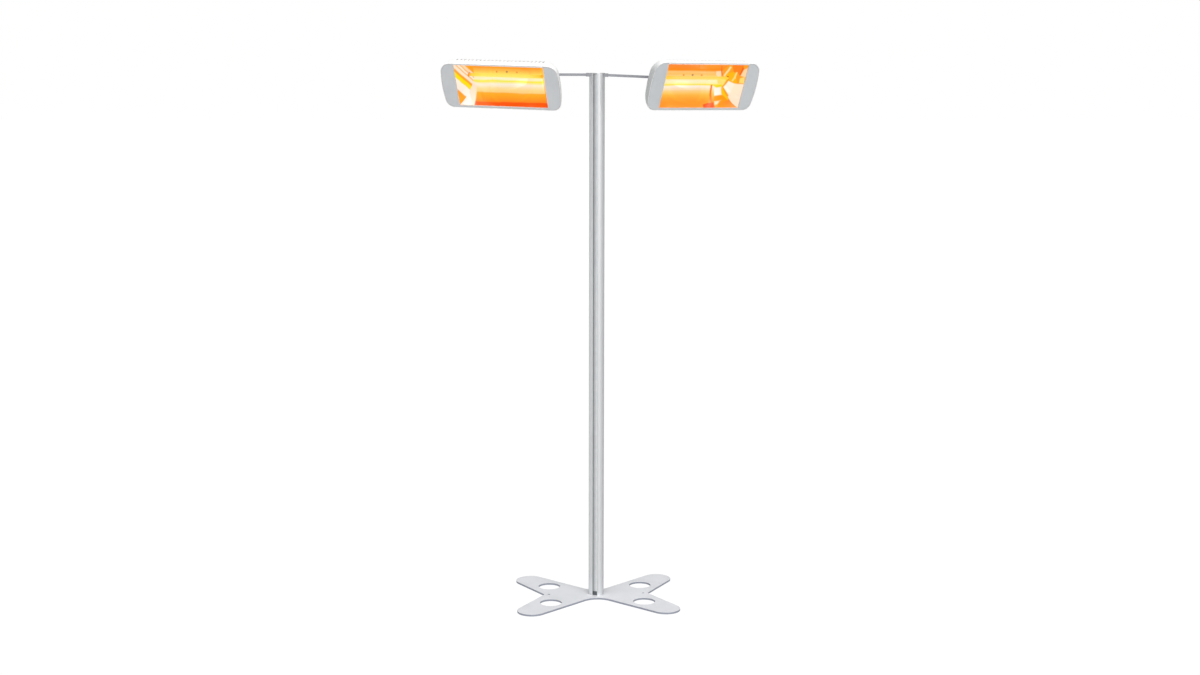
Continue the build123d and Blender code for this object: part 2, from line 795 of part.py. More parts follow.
# Lug on the housing's back that the tilt bolt passes through.
with BuildPart() as tilt_lug:
    with BuildSketch(Plane.XZ.offset(-housing_back)):
        RectangleRounded(lug_foot_width, lug_foot_height, 3)
    extrude(amount=-lug_foot_thickness)
    with BuildSketch(Plane.YZ):
        with Locations((tilt_axis_depth, 0)):
            Circle(lug_barrel_diameter / 2)
        with Locations(((housing_back + tilt_axis_depth) / 2, 0)):
            Rectangle(lug_reach, lug_barrel_diameter * 0.8)
    extrude(amount=bracket_inner_half - bracket_lug_gap, both=True)
    with BuildSketch(Plane.YZ):
        with Locations((housing_back + lug_foot_thickness / 2, 0)):
            Rectangle(lug_foot_thickness, lug_foot_height * 2)
    extrude(amount=lug_foot_width, both=True, mode=Mode.SUBTRACT)
    with BuildSketch(Plane.XZ.offset(-housing_back)):
        RectangleRounded(lug_foot_width, lug_foot_height, 3)
    extrude(amount=-lug_foot_thickness)
    with BuildSketch(Plane.YZ):
        with Locations((tilt_axis_depth, 0)):
            Circle(tilt_bolt_diameter / 2 + bolt_gap)
    extrude(amount=rim_width, both=True, mode=Mode.SUBTRACT)
    with BuildSketch(Plane.XZ.offset(-housing_back)):
        with Locations(*lug_screw_spots):
            Circle(lug_screw_diameter / 2 + fit_gap)
    extrude(amount=-lug_foot_thickness, mode=Mode.SUBTRACT)

lug_screw = socket_screw(lug_screw_diameter, lug_screw_length, lug_screw_head, 5.0, 4.0)
with BuildPart() as lug_screws:
    for x, z in lug_screw_spots:
        add(Pos(x, housing_back + lug_foot_thickness, z) * Rot(-90, 0, 0) * lug_screw)

# Cable gland in the back, with nothing in it.
gland_flange = 4.0
with BuildPart() as cable_gland:
    with BuildSketch(Plane.XZ.offset(-housing_back)):
        with Locations((gland_x, 0)):
            RegularPolygon(gland_hex_width / 2, 6, major_radius=False)
    extrude(amount=-gland_flange)
    with BuildSketch(Plane.XZ.offset(-(housing_back - housing_wall))):
        with Locations((gland_x, 0)):
            Circle(gland_thread_diameter / 2)
    extrude(amount=-(gland_length + housing_wall))
    fillet(cable_gland.edges().group_by(Axis.Y)[-1], 3)
    with BuildSketch(Plane.XZ.offset(-(housing_back - housing_wall))):
        with Locations((gland_x, 0)):
            Circle(gland_hex_width / 2 + 1)
    extrude(amount=3)
    with BuildSketch(Plane.XZ.offset(-(housing_back - 3 * housing_wall))):
        with Locations((gland_x, 0)):
            Circle(gland_bore / 2)
    extrude(amount=-housing_back, mode=Mode.SUBTRACT)

# ======== Pieces of one bracket ========
# The middle of the arm's eye is the origin and Z is the swivel axis.

with BuildPart() as swivel_discs:
    for height in (arm_eye_thickness / 2, -swivel_stack):
        with BuildSketch(Plane.XY.offset(height)):
            Circle(arm_eye_diameter / 2)
            Circle(swivel_bolt_diameter / 2 + bolt_gap, mode=Mode.SUBTRACT)
        extrude(amount=swivel_disc_thickness)

with BuildPart() as tilt_bracket:
    with BuildSketch(Plane.XY.offset(swivel_stack)):
        RectangleRounded(2 * (bracket_inner_half + bracket_sheet), bracket_depth, 3)
        Circle(swivel_bolt_diameter / 2 + bolt_gap, mode=Mode.SUBTRACT)
    extrude(amount=bracket_sheet)
    for direction in (1, -1):
        with BuildSketch(Plane.YZ.offset(direction * bracket_inner_half)):
            with Locations((0, swivel_stack + bracket_sheet / 2)):
                Rectangle(bracket_depth - 6, bracket_sheet)
            with Locations((-tilt_ahead, tilt_above)):
                Circle(ear_radius)
            make_hull()
        extrude(amount=direction * bracket_sheet)
    with BuildSketch(Plane.YZ):
        with Locations((-tilt_ahead, tilt_above)):
            Circle(tilt_bolt_diameter / 2 + bolt_gap)
    extrude(amount=rim_width, both=True, mode=Mode.SUBTRACT)

swivel_top = swivel_stack + bracket_sheet
swivel_bolt_length = swivel_top + swivel_stack + 12
swivel_bolt = hex_bolt(
    swivel_bolt_diameter, swivel_bolt_length, swivel_head_width, swivel_head_height
)
swivel_bolt = Pos(0, 0, swivel_top) * swivel_bolt
swivel_nut = Pos(0, 0, -swivel_stack) * Rot(180, 0, 0) * hex_nut(swivel_bolt_diameter, 17.0, 8.0)
ear_outside = bracket_inner_half + bracket_sheet
tilt_bolt = hex_bolt(tilt_bolt_diameter, 2 * ear_outside + 10, tilt_head_width, tilt_head_height)
tilt_bolt = Pos(ear_outside, -tilt_ahead, tilt_above) * Rot(0, 90, 0) * tilt_bolt
tilt_nut = hex_nut(tilt_bolt_diameter, tilt_head_width, 6.5)
tilt_nut = Pos(-ear_outside, -tilt_ahead, tilt_above) * Rot(0, -90, 0) * tilt_nut

# ======== Both sides ========

head_pieces = {
    "housing": housing.part,
    "bezel": bezel.part,
    "bezel_seal": bezel_seal.part,
    "bezel_screws": bezel_screws.part,
    "reflector": reflector.part,
    "end_mirrors": end_mirrors.part,
    "reflector_screws": reflector_screws.part,
    "lamp_tube": lamp_tube.part,
    "filament": filament.part,
    "lamp_caps": lamp_caps.part,
    "lamp_holders": lamp_holders.part,
    "holder_brackets": holder_brackets.part,
    "terminal_block": terminal_block.part,
    "tilt_lug": tilt_lug.part,
    "lug_screws": lug_screws.part,
    "cable_gland": cable_gland.part,
}
bracket_pieces = {
    "swivel_discs": swivel_discs.part,
    "tilt_bracket": tilt_bracket.part,
    "swivel_bolt": swivel_bolt,
    "swivel_nut": swivel_nut,
    "tilt_bolt": tilt_bolt,
    "tilt_nut": tilt_nut,
}

bracket_planes = {}
head_planes = {}
for name, side in sides.items():
    arm_plane = arm_planes[name]
    tip = arm_plane.from_local_coords(Vector(side["reach"], 0, 0))
    swivel = Pos(*tip) * Rot(0, 0, side["yaw"]) * Rot(0, side["roll"], 0)
    tilt = swivel * Pos(0, -tilt_ahead, tilt_above) * Rot(side["tilt"], 0, 0)
    bracket_planes[name] = Plane(swivel)
    head_planes[name] = Plane(tilt * Pos(0, -tilt_axis_depth, 0))

    with BuildPart() as arm:
        with BuildSketch(arm_plane.offset(-arm_thickness / 2)):
            with Locations(((arm_gap / 2 + side["reach"]) / 2, 0)):
                Rectangle(side["reach"] - arm_gap / 2, arm_width)
        extrude(amount=arm_thickness)
        for across in (arm_screw_y, -arm_screw_y):
            seat = arm_plane.offset(arm_thickness / 2)
            with Locations(seat.location * Pos(arm_screw_x, across, 0)):
                CounterSinkHole(
                    arm_screw_diameter / 2 + fit_gap,
                    arm_screw_head / 2 + fit_gap,
                    arm_thickness * 2,
                    90,
                )
        with BuildSketch(bracket_planes[name].offset(-arm_eye_thickness / 2)):
            Circle(arm_eye_diameter / 2)
        extrude(amount=arm_eye_thickness)
        with BuildSketch(bracket_planes[name]):
            Circle(swivel_bolt_diameter / 2 + bolt_gap)
        extrude(amount=arm_eye_thickness, both=True, mode=Mode.SUBTRACT)
    written(arm, f"{name}_arm")

    for piece, solid in bracket_pieces.items():
        placed(solid, bracket_planes[name], f"{name}_{piece}")
    for piece, solid in head_pieces.items():
        placed(solid, head_planes[name], f"{name}_{piece}")
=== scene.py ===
# %% [markdown]
# # Infrared heater tower for a terrace
# A round pole stands on a flat cross-shaped foot and carries two wide heater heads on short
# arms. The solids come ready made from the CAD model, already in their places. This lesson
# gives them finishes, and remakes in Blender the pieces whose shine or glow needs a smoother
# mesh: the mirror trough, the quartz lamp and its hot coil.

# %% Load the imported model
import json
import math

import bmesh
import bpy
from mathutils import Matrix, Vector


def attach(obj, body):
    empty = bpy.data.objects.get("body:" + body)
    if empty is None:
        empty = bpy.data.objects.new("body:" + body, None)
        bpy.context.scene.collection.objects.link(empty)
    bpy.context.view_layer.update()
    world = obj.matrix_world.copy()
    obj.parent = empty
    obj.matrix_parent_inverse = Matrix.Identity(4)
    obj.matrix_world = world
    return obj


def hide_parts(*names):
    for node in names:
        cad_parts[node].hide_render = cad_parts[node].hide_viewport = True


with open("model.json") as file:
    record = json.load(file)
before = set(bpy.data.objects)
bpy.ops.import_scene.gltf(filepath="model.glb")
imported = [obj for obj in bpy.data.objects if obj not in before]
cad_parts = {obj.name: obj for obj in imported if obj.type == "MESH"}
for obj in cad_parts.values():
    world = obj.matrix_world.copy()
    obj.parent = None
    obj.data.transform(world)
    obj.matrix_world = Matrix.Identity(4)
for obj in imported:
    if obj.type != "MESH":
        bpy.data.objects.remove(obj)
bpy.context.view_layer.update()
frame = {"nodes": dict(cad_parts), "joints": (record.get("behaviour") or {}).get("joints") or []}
nodes = frame["nodes"]

# %% [markdown]
# ## Camera
# The photograph was taken from about as high as the pole's top, some seven metres away, with a
# slightly long lens. Its place and direction were worked out from the foot plate, the pole
# and the two faces of the heads. A camera could be aimed with a constraint, but its three
# axes are written out here, because the slight lean of the picture is then one more angle.

# %% Camera
camera_place = Vector((-0.3795, -6.7877, 2.137))
camera_turn = math.radians(3.315)
camera_dip = math.radians(8.99)
camera_lean = math.radians(0.126)

looking = Vector(
    (
        math.sin(camera_turn) * math.cos(camera_dip),
        math.cos(camera_turn) * math.cos(camera_dip),
        -math.sin(camera_dip),
    )
)
level_right = Vector((math.cos(camera_turn), -math.sin(camera_turn), 0))
level_up = level_right.cross(looking)
camera_right = level_right * math.cos(camera_lean) + level_up * math.sin(camera_lean)
camera_up = level_up * math.cos(camera_lean) - level_right * math.sin(camera_lean)

camera_data = bpy.data.cameras.new("camera")
camera_data.sensor_width = 36.0
camera_data.lens = 52.01
camera = bpy.data.objects.new("camera", camera_data)
bpy.context.scene.collection.objects.link(camera)
turned = Matrix((camera_right, camera_up, -looking)).transposed().to_4x4()
camera.matrix_world = Matrix.Translation(camera_place) @ turned
bpy.context.scene.camera = camera
print(f"camera {camera_place.length:.2f} m from the pole's foot")

# %% [markdown]
# ## Colours and nodes
# Colours are listed as sRGB hex values, the way a paint chart gives them, but shaders
# count in linear light, so one function turns the one into the other. A second small function
# adds any node with its settings, links and colour stops, with the help of a third that fills
# a node's inputs, so that each material reads as a short recipe.


# %% Colour and node helpers
def linear(hex_colour):
    """An sRGB hex colour as the four linear numbers that a shader socket takes."""
    shares = [int(hex_colour[i : i + 2], 16) / 255 for i in (1, 3, 5)]
    lit = [s / 12.92 if s <= 0.04045 else ((s + 0.055) / 1.055) ** 2.4 for s in shares]
    return (*lit, 1.0)


def feed(node, inputs):
    """Fills a node's inputs, each with a plain value or the output socket that feeds it."""
    for name, value in inputs.items():
        if isinstance(value, bpy.types.NodeSocket):
            node.id_data.links.new(value, node.inputs[name])
        else:
            node.inputs[name].default_value = value


def add(tree, kind, inputs=None, stops=(), **settings):
    """Adds a node of the type "ShaderNode" + kind with its settings, and fills its inputs. The
    stops of a colour ramp are pairs of a place, from 0 to 1, and a hex colour."""
    made = tree.nodes.new("ShaderNode" + kind)
    for name, value in settings.items():
        setattr(made, name, value)
    if stops:
        elements = made.color_ramp.elements
        while len(elements) < len(stops):
            elements.new(0.5)
        for element, (place, colour) in zip(elements, stops):
            element.position = place
            element.color = linear(colour)
    feed(made, inputs or {})
    return made


def start_material(name):
    """A new material with its node tree and its Principled shader. Its glow isn't aimed at as
    a lamp: what glows here lights little else, and rays spent on it leave grain in the shade."""
    material = bpy.data.materials.new(name)
    material.use_nodes = True
    material.cycles.emission_sampling = "NONE"
    return material, material.node_tree, material.node_tree.nodes["Principled BSDF"]


def millimetres(tree, stretch=(1, 1, 1)):
    """Object coordinates counted in millimetres, for patterns sized in real grains. The stretch
    is how many times longer the pattern gets along each axis."""
    place = add(tree, "TexCoord").outputs["Object"]
    scale = tuple(1000 / times for times in stretch)
    return add(tree, "Mapping", {"Vector": place, "Scale": scale}).outputs["Vector"]


print("white is", linear("#FFFFFF")[:3])

# %% [markdown]
# ## Studio
# The photograph is a cut-out on white. A wide pale floor and a white sky stand in for it. Lamps
# could light it, but the light of a studio's large soft boxes fades out at their rims, so they
# are drawn into the world as soft round lobes: a big one high in front, which lights the tops,
# and a weak low one to the right, which draws the long highlight on the round pole. The floor
# adds some white of its own where the camera looks at it, so that only a faint shadow shows.

# %% Studio floor
floor_size = 120.0
floor_gap = 0.0005
floor_own_white = 0.85
paper_sheet = bmesh.new()
bmesh.ops.create_grid(paper_sheet, x_segments=1, y_segments=1, size=floor_size / 2)
floor_mesh = bpy.data.meshes.new("studio_floor")
paper_sheet.to_mesh(floor_mesh)
paper_sheet.free()
floor = bpy.data.objects.new("studio_floor", floor_mesh)
bpy.context.scene.collection.objects.link(floor)
floor.location.z = -floor_gap

paper, tree, shader = start_material("studio_paper_matt")
feed(shader, {"Base Color": linear("#BCBCBC"), "Roughness": 0.9, "Specular IOR Level": 0.1})
seen = add(tree, "LightPath").outputs["Is Camera Ray"]
share = add(tree, "Math", {0: seen, 1: floor_own_white}, operation="MULTIPLY")
lit_paper = add(tree, "Emission", {"Color": linear("#FFFFFF"), "Strength": 1.1})
both = add(tree, "MixShader", {0: share.outputs[0], 1: shader.outputs[0], 2: lit_paper.outputs[0]})
feed(tree.nodes["Material Output"], {"Surface": both.outputs[0]})
floor_mesh.materials.append(paper)
print("floor", floor_size, "m wide")

# %% [markdown]
# ### Soft boxes in the world
# Each lobe has a direction, as an azimuth counted from the camera's side towards +X and an
# elevation, a half width and a strength. The cosine between a direction and the lobe's middle
# rises smoothly from zero at its edge, and that rise is added to an even grey.

# %% World
even_light = 0.55
lobes = [
    (0.0, 58.0, 36.0, 4.4),
    (18.0, 12.0, 40.0, 1.1),
]
world = bpy.data.worlds.new("studio_world")
bpy.context.scene.world = world
world.use_nodes = True
tree = world.node_tree
tree.nodes.clear()
direction = add(tree, "TexCoord").outputs["Generated"]
total = even_light
for azimuth, elevation, half_width, strength in lobes:
    around, up = math.radians(azimuth), math.radians(elevation)
    middle = (math.sin(around) * math.cos(up), -math.cos(around) * math.cos(up), math.sin(up))
    cosine = add(tree, "VectorMath", {0: direction, 1: middle}, operation="DOT_PRODUCT")
    lobe = add(
        tree,
        "MapRange",
        {
            "Value": cosine.outputs["Value"],
            "From Min": math.cos(math.radians(half_width)),
            "From Max": 1.0,
            "To Max": strength,
        },
        interpolation_type="SMOOTHSTEP",
    )
    total = add(tree, "Math", {0: lobe.outputs["Result"], 1: total}, operation="ADD").outputs[0]
straight = add(tree, "LightPath").outputs["Is Camera Ray"]
boxes = add(tree, "Background", {"Color": linear("#FFFFFF"), "Strength": total})
white = add(tree, "Background", {"Color": linear("#FFFFFF"), "Strength": 1.0})
mixed = add(tree, "MixShader", {0: straight, 1: boxes.outputs[0], 2: white.outputs[0]})
add(tree, "OutputWorld", {"Surface": mixed.outputs[0]})
bpy.context.scene.view_settings.view_transform = "Standard"
print(len(lobes), "soft boxes")

# %% [markdown]
# ## Where each head stands
# Both heads are the same, but each is swivelled and tilted its own way. Its frame follows from
# the joints of the CAD model: X runs along the tilt bolt, Y goes back from the face and Z up
# it. New pieces are made once in that frame, in millimetres, and then put in place, and
# patterns on a head are drawn in the same frame.

# %% Head frames
tilt_angles = {"left": 33.1, "right": 24.8}
tilt_axis_depth = 0.131
joints = {joint["name"]: joint for joint in frame["joints"]}
head_frames = {}
for side, angle in tilt_angles.items():
    along = Vector(joints[f"{side}_tilt"]["axis"]).normalized()
    upright = Vector(joints[f"{side}_swivel"]["axis"]).normalized()
    level_back = upright.cross(along)
    turn = math.radians(angle)
    back = level_back * math.cos(turn) + upright * math.sin(turn)
    up_face = upright * math.cos(turn) - level_back * math.sin(turn)
    middle = Vector(joints[f"{side}_tilt"]["pos_m"]) - back * tilt_axis_depth
    axes = Matrix((along, back, up_face)).transposed().to_4x4()
    head_frames[side] = Matrix.Translation(middle) @ axes
    print(side, "face middle", [round(c, 3) for c in middle])


def head_millimetres(tree, side):
    """Coordinates in the head's own frame, in millimetres."""
    place = add(tree, "TexCoord")
    spot = head_frames[side]
    return add(
        tree,
        "Mapping",
        {
            "Vector": place.outputs["Object"],
            "Location": spot.translation,
            "Rotation": spot.to_euler("XYZ"),
            "Scale": (0.001, 0.001, 0.001),
        },
        vector_type="TEXTURE",
    ).outputs["Vector"]


# %% [markdown]
# ## Powder coats
# The foot, the housings and the front frames are steel with a baked powder coat. The powder
# melts into a skin with a very fine orange peel, so its shine is broad and soft. A noise of
# about 3 mm stands in for a real peel of 1 mm, which would be finer than a pixel. A large
# weak noise shifts the tone a little, the way handling and dust do. The function gives back
# its node tree and shader too, so that a second tone can be laid over the first.

# %% Powder coats
cloud_size = 120
peel_size = 3


def powder_coat(name, colour, shade, roughness):
    """A baked powder coat over steel, in two near tones."""
    material, tree, shader = start_material(name)
    spot = millimetres(tree)
    cloud = add(
        tree, "TexNoise", {"Vector": spot, "Scale": 1 / cloud_size, "Detail": 3.0}
    ).outputs["Fac"]
    peel = add(tree, "TexNoise", {"Vector": spot, "Scale": 1 / peel_size, "Detail": 1.0})
    bump = add(tree, "Bump", {"Height": peel.outputs["Fac"], "Strength": 0.06, "Distance": 0.0003})
    tone = add(tree, "ValToRGB", {"Fac": cloud}, stops=[(0.35, shade), (0.65, colour)])
    gloss = add(
        tree, "MapRange", {"Value": cloud, "To Min": roughness - 0.04, "To Max": roughness + 0.05}
    )
    finish = {
        "Base Color": tone.outputs["Color"],
        "Normal": bump.outputs["Normal"],
        "Roughness": gloss.outputs["Result"],
    }
    feed(shader, finish)
    return material, tree, shader


def second_tone(tree, shader, share, hex_colour):
    """Mixes another colour over the coat's tone, by a share from 0 to 1."""
    first = shader.inputs["Base Color"].links[0].from_socket
    inputs = {0: share, 6: first, 7: linear(hex_colour)}
    mix = add(tree, "Mix", inputs, data_type="RGBA")
    feed(shader, {"Base Color": mix.outputs[2]})


print("powder coat grains:", cloud_size, "and", peel_size, "mm")

# %% [markdown]
# ### The housings' white coat
# In the photograph each housing's end wall by the pole lies in shade, the right one deeper. The
# soft boxes light it more than that, so the shade is drawn as a greyer second tone. How far a
# face is turned towards the pole says how much of it there is, which keeps the change soft. A
# left head's X axis points to the pole, and a right head's away from it.

# %% The housings' white coat
pole_side_tones = {"left": "#E8E8E7", "right": "#BFC2C2"}
housing_coats = {}
for side in head_frames:
    coat, tree, shader = powder_coat(
        f"powder_coat_white_on_steel_{side}", "#F4F3F2", "#EDECEB", 0.38
    )
    towards_pole = head_frames[side].col[0].xyz * (1 if side == "left" else -1)
    facing = add(tree, "TexCoord").outputs["Normal"]
    lean = add(tree, "VectorMath", {0: facing, 1: towards_pole}, operation="DOT_PRODUCT")
    share = add(
        tree, "MapRange", {"Value": lean.outputs["Value"], "From Min": 0.25, "From Max": 0.95}
    )
    second_tone(tree, shader, share.outputs["Result"], pole_side_tones[side])
    housing_coats[side] = coat
print("white coats for", ", ".join(housing_coats))

# %% [markdown]
# ### The foot's cut edge
# The foot is cut from plate and coated in a pale silver grey. Its narrow upright edges get a
# painted shade, darker and a little bluish, for the shade that falls on the sides. The edge is
# found by how far a face's normal leans from straight up or down.

# %% Foot coat
foot_coat, tree, shader = powder_coat("powder_coat_silver_on_steel", "#CCCDD1", "#C5C7CA", 0.42)
facing = add(tree, "NewGeometry").outputs["Normal"]
upright = add(tree, "SeparateXYZ", {"Vector": facing}).outputs["Z"]
lean = add(tree, "Math", {0: upright}, operation="ABSOLUTE")
edge_painted_shade = add(
    tree,
    "MapRange",
    {"Value": lean.outputs[0], "From Min": 0.25, "From Max": 0.8, "To Min": 1.0, "To Max": 0.0},
)
# Painted shade: the upright edges are drawn darker and a little bluish.
second_tone(tree, shader, edge_painted_shade.outputs["Result"], "#8F939F")
print("foot coat ready")

# %% [markdown]
# ## Anodised pole
# The pole is an extruded aluminium profile. The die leaves hair-fine lines along its length,
# and the anodic skin turns the metal's shine to a satin grey. The lines are a noise that is
# stretched a thousandfold along the pole. They are drawn 1.5 mm wide, because the real ones
# are much finer than a pixel.

# %% Anodised aluminium
line_width = 1.5
line_stretch = (1, 1, 1000)


def anodised(name, colour, shade, roughness):
    """Satin anodised aluminium with the long fine lines of its extrusion."""
    material, tree, shader = start_material(name)
    spot = millimetres(tree, line_stretch)
    lines = add(
        tree, "TexNoise", {"Vector": spot, "Scale": 1 / line_width, "Detail": 2.0}
    ).outputs["Fac"]
    tone = add(tree, "ValToRGB", {"Fac": lines}, stops=[(0.3, shade), (0.7, colour)])
    gloss = add(
        tree, "MapRange", {"Value": lines, "To Min": roughness - 0.05, "To Max": roughness + 0.05}
    )
    finish = {
        "Base Color": tone.outputs["Color"],
        "Roughness": gloss.outputs["Result"],
        "Metallic": 1.0,
    }
    feed(shader, finish)
    return material


cap_metal = anodised("anodised_aluminium_turned", "#E4E5E6", "#D8DADB", 0.38)
pole_metal = anodised("anodised_aluminium_extruded", "#FBFCFD", "#EEF1F3", 0.42)
print("anodised cap and pole")

# %% [markdown]
# ### Shade across the pole
# The flanks of the pole, and a band beside its channel, are drawn a little darker, because the
# soft boxes light them more evenly than the photograph shows. That depends only on how far a
# point lies across the channel, so a ramp of greys does it, and the strip over the channel gets
# a ramp of its own. The channel is a deep pocket that light hardly reaches. It is drawn dark by
# a mask, of what lies within its half width and in the pole's front half.

# %% Shade across the pole
channel_angle = math.radians(13.6)
channel_half = 9.2
channel_across = (math.cos(channel_angle), -math.sin(channel_angle), 0)
channel_inward = (math.sin(channel_angle), math.cos(channel_angle), 0)
pole_reach = 31.0


def across_channel(tree, direction):
    """How far a point lies along a direction of the channel's frame, in millimetres."""
    return add(
        tree, "VectorMath", {0: millimetres(tree), 1: direction}, operation="DOT_PRODUCT"
    ).outputs["Value"]


def shade_across(material, *stops):
    """Multiplies a finish by grey tones that change across the channel."""
    tree = material.node_tree
    shader = tree.nodes["Principled BSDF"]
    across = across_channel(tree, channel_across)
    span = {"Value": across, "From Min": -pole_reach, "From Max": pole_reach}
    share = add(tree, "MapRange", span).outputs["Result"]
    greys = [((x / pole_reach + 1) / 2, grey) for x, grey in stops]
    tones = add(tree, "ValToRGB", {"Fac": share}, stops=greys).outputs["Color"]
    shaded = add(
        tree,
        "Mix",
        {0: 1.0, 6: shader.inputs["Base Color"].links[0].from_socket, 7: tones},
        data_type="RGBA",
        blend_type="MULTIPLY",
    )
    feed(shader, {"Base Color": shaded.outputs[2]})


shade_across(
    pole_metal,
    (-31, "#DCDCDC"),
    (-26, "#F8F8F8"),
    (-10, "#FFFFFF"),
    (9, "#E2E2E2"),
    (13, "#F0F0F0"),
    (17, "#FFFFFF"),
    (23, "#FCFCFC"),
    (31, "#DCDCDC"),
)
tree = pole_metal.node_tree
sideways = add(tree, "Math", {0: across_channel(tree, channel_across)}, operation="ABSOLUTE")
narrow = add(tree, "Math", {0: sideways.outputs[0], 1: channel_half}, operation="LESS_THAN")
front = add(tree, "Math", {0: across_channel(tree, channel_inward), 1: 0.0}, operation="LESS_THAN")
inside = add(tree, "Math", {0: narrow.outputs[0], 1: front.outputs[0]}, operation="MULTIPLY")
second_tone(tree, tree.nodes["Principled BSDF"], inside.outputs[0], "#74777B")
print("shade over", 2 * pole_reach, "mm")

# %% [markdown]
# ## Bare and plated metals
# Screws and nuts are zinc plated, with a slightly cloudy, bluish shine. The arms are brushed
# steel and the brackets bent steel sheet. The plug, joiner, crosshead and lugs are cast
# aluminium, sandblasted to a fine grain. All are metal shaders with a noise in their tone and
# shine; only the grain's size and stretch differ.


# %% Bare metals
def bare_metal(name, colour, shade, roughness, grain, stretch=(1, 1, 1), bump_share=0.0):
    """A bare or plated metal. Its grain is in millimetres, and longer where it is stretched."""
    material, tree, shader = start_material(name)
    spot = millimetres(tree, stretch)
    cloud = add(
        tree, "TexNoise", {"Vector": spot, "Scale": 1 / grain, "Detail": 3.0}
    ).outputs["Fac"]
    tone = add(tree, "ValToRGB", {"Fac": cloud}, stops=[(0.3, shade), (0.7, colour)])
    gloss = add(
        tree, "MapRange", {"Value": cloud, "To Min": roughness - 0.07, "To Max": roughness + 0.07}
    )
    finish = {
        "Base Color": tone.outputs["Color"],
        "Roughness": gloss.outputs["Result"],
        "Metallic": 1.0,
    }
    if bump_share:
        bump = add(tree, "Bump", {"Height": cloud, "Strength": bump_share, "Distance": 0.0004})
        finish["Normal"] = bump.outputs["Normal"]
    feed(shader, finish)
    return material


zinc_plate = bare_metal("zinc_plated_steel", "#C8CBCF", "#AEB2B7", 0.35, 4.0)
arm_metal = bare_metal("brushed_steel_bar", "#A4A5AB", "#8E9097", 0.4, 1.5, (60, 1, 1))
bracket_metal = bare_metal("bent_steel_sheet_satin", "#8D8F94", "#797B80", 0.45, 6.0)
cast_metal = bare_metal(
    "cast_aluminium_sandblasted", "#B4B5B7", "#9C9EA0", 0.55, 1.2, bump_share=0.3
)
print("four bare metals")

# %% [markdown]
# ## Plastics, rubber and ceramic
# The strip over the cable channel is extruded plastic, the collars and washers are moulded
# nylon, the seal is silicone rubber and the lamp's sockets are steatite, a dense unglazed
# ceramic. None is a metal. They differ in how rough and how grainy they are, so one recipe
# makes them all. The strip's left side is drawn darker, in the shade of the channel's wall.

# %% Plastics, rubber and ceramic
mottle_size = 25


def moulded(name, colour, shade, roughness, grain, strength=0.15, ior=1.5):
    """A moulded plastic, rubber or ceramic with a fine grain."""
    material, tree, shader = start_material(name)
    spot = millimetres(tree)
    cloud = add(tree, "TexNoise", {"Vector": spot, "Scale": 1 / mottle_size, "Detail": 3.0})
    grainy = add(tree, "TexNoise", {"Vector": spot, "Scale": 1 / grain})
    bump = add(
        tree, "Bump", {"Height": grainy.outputs["Fac"], "Strength": strength, "Distance": 0.0002}
    )
    tone = add(
        tree, "ValToRGB", {"Fac": cloud.outputs["Fac"]}, stops=[(0.35, shade), (0.65, colour)]
    )
    finish = {
        "Base Color": tone.outputs["Color"],
        "Normal": bump.outputs["Normal"],
        "Roughness": roughness,
        "IOR": ior,
    }
    feed(shader, finish)
    return material


strip_plastic = moulded("asa_plastic_extruded", "#D6D9DB", "#CDD0D3", 0.5, 1.0)
shade_across(
    strip_plastic,
    (-9, "#B8B8B8"),
    (-4, "#CFCFCF"),
    (1, "#E0E0E0"),
    (6, "#F4F4F4"),
    (9, "#FFFFFF"),
)
collar_nylon = moulded("nylon_moulded_mid_grey", "#94959A", "#8A8B90", 0.55, 1.5)
gland_nylon = moulded("nylon_moulded_black", "#1C1C1E", "#141416", 0.5, 1.5)
seal_rubber = moulded("silicone_rubber_grey", "#909396", "#868A8D", 0.7, 1.0, 0.25, 1.41)
steatite = moulded("steatite_ceramic_unglazed", "#E4DDCB", "#D5CDB9", 0.75, 1.2, 0.35, 1.6)
print("five moulded finishes")

# %% [markdown]
# ## Front frame
# The frame's two end plates are pale grey, while its top rail looks white. The rail is told
# apart by its place in the head's own frame: above the opening and between the plates. Each
# head has its own greys: the right frame's are a little darker, as painted shade for the shade
# it lies in.

# %% Frame coat
rail_low_edge = 91.5
half_opening = 174.4
# The right frame's greys are darker as painted shade.
frame_greys_with_painted_shade = {"left": ("#DADDDF", "#D3D6D9"), "right": ("#CFD3D5", "#C9CDD0")}


def frame_coat(side):
    """The front frame's grey coat, lighter on the rail above the opening."""
    material, tree, shader = powder_coat(
        f"powder_coat_pale_grey_on_steel_{side}", *frame_greys_with_painted_shade[side], 0.45
    )
    axis = add(tree, "SeparateXYZ", {"Vector": head_millimetres(tree, side)})
    above = add(tree, "Math", {0: axis.outputs["Z"], 1: rail_low_edge}, operation="GREATER_THAN")
    sideways = add(tree, "Math", {0: axis.outputs["X"]}, operation="ABSOLUTE")
    between = add(tree, "Math", {0: sideways.outputs[0], 1: half_opening}, operation="LESS_THAN")
    share = add(tree, "Math", {0: above.outputs[0], 1: between.outputs[0]}, operation="MULTIPLY")
    second_tone(tree, shader, share.outputs[0], "#F4F3F2")
    return material


frame_coats = {side: frame_coat(side) for side in head_frames}
print("frame coats for", ", ".join(frame_coats))
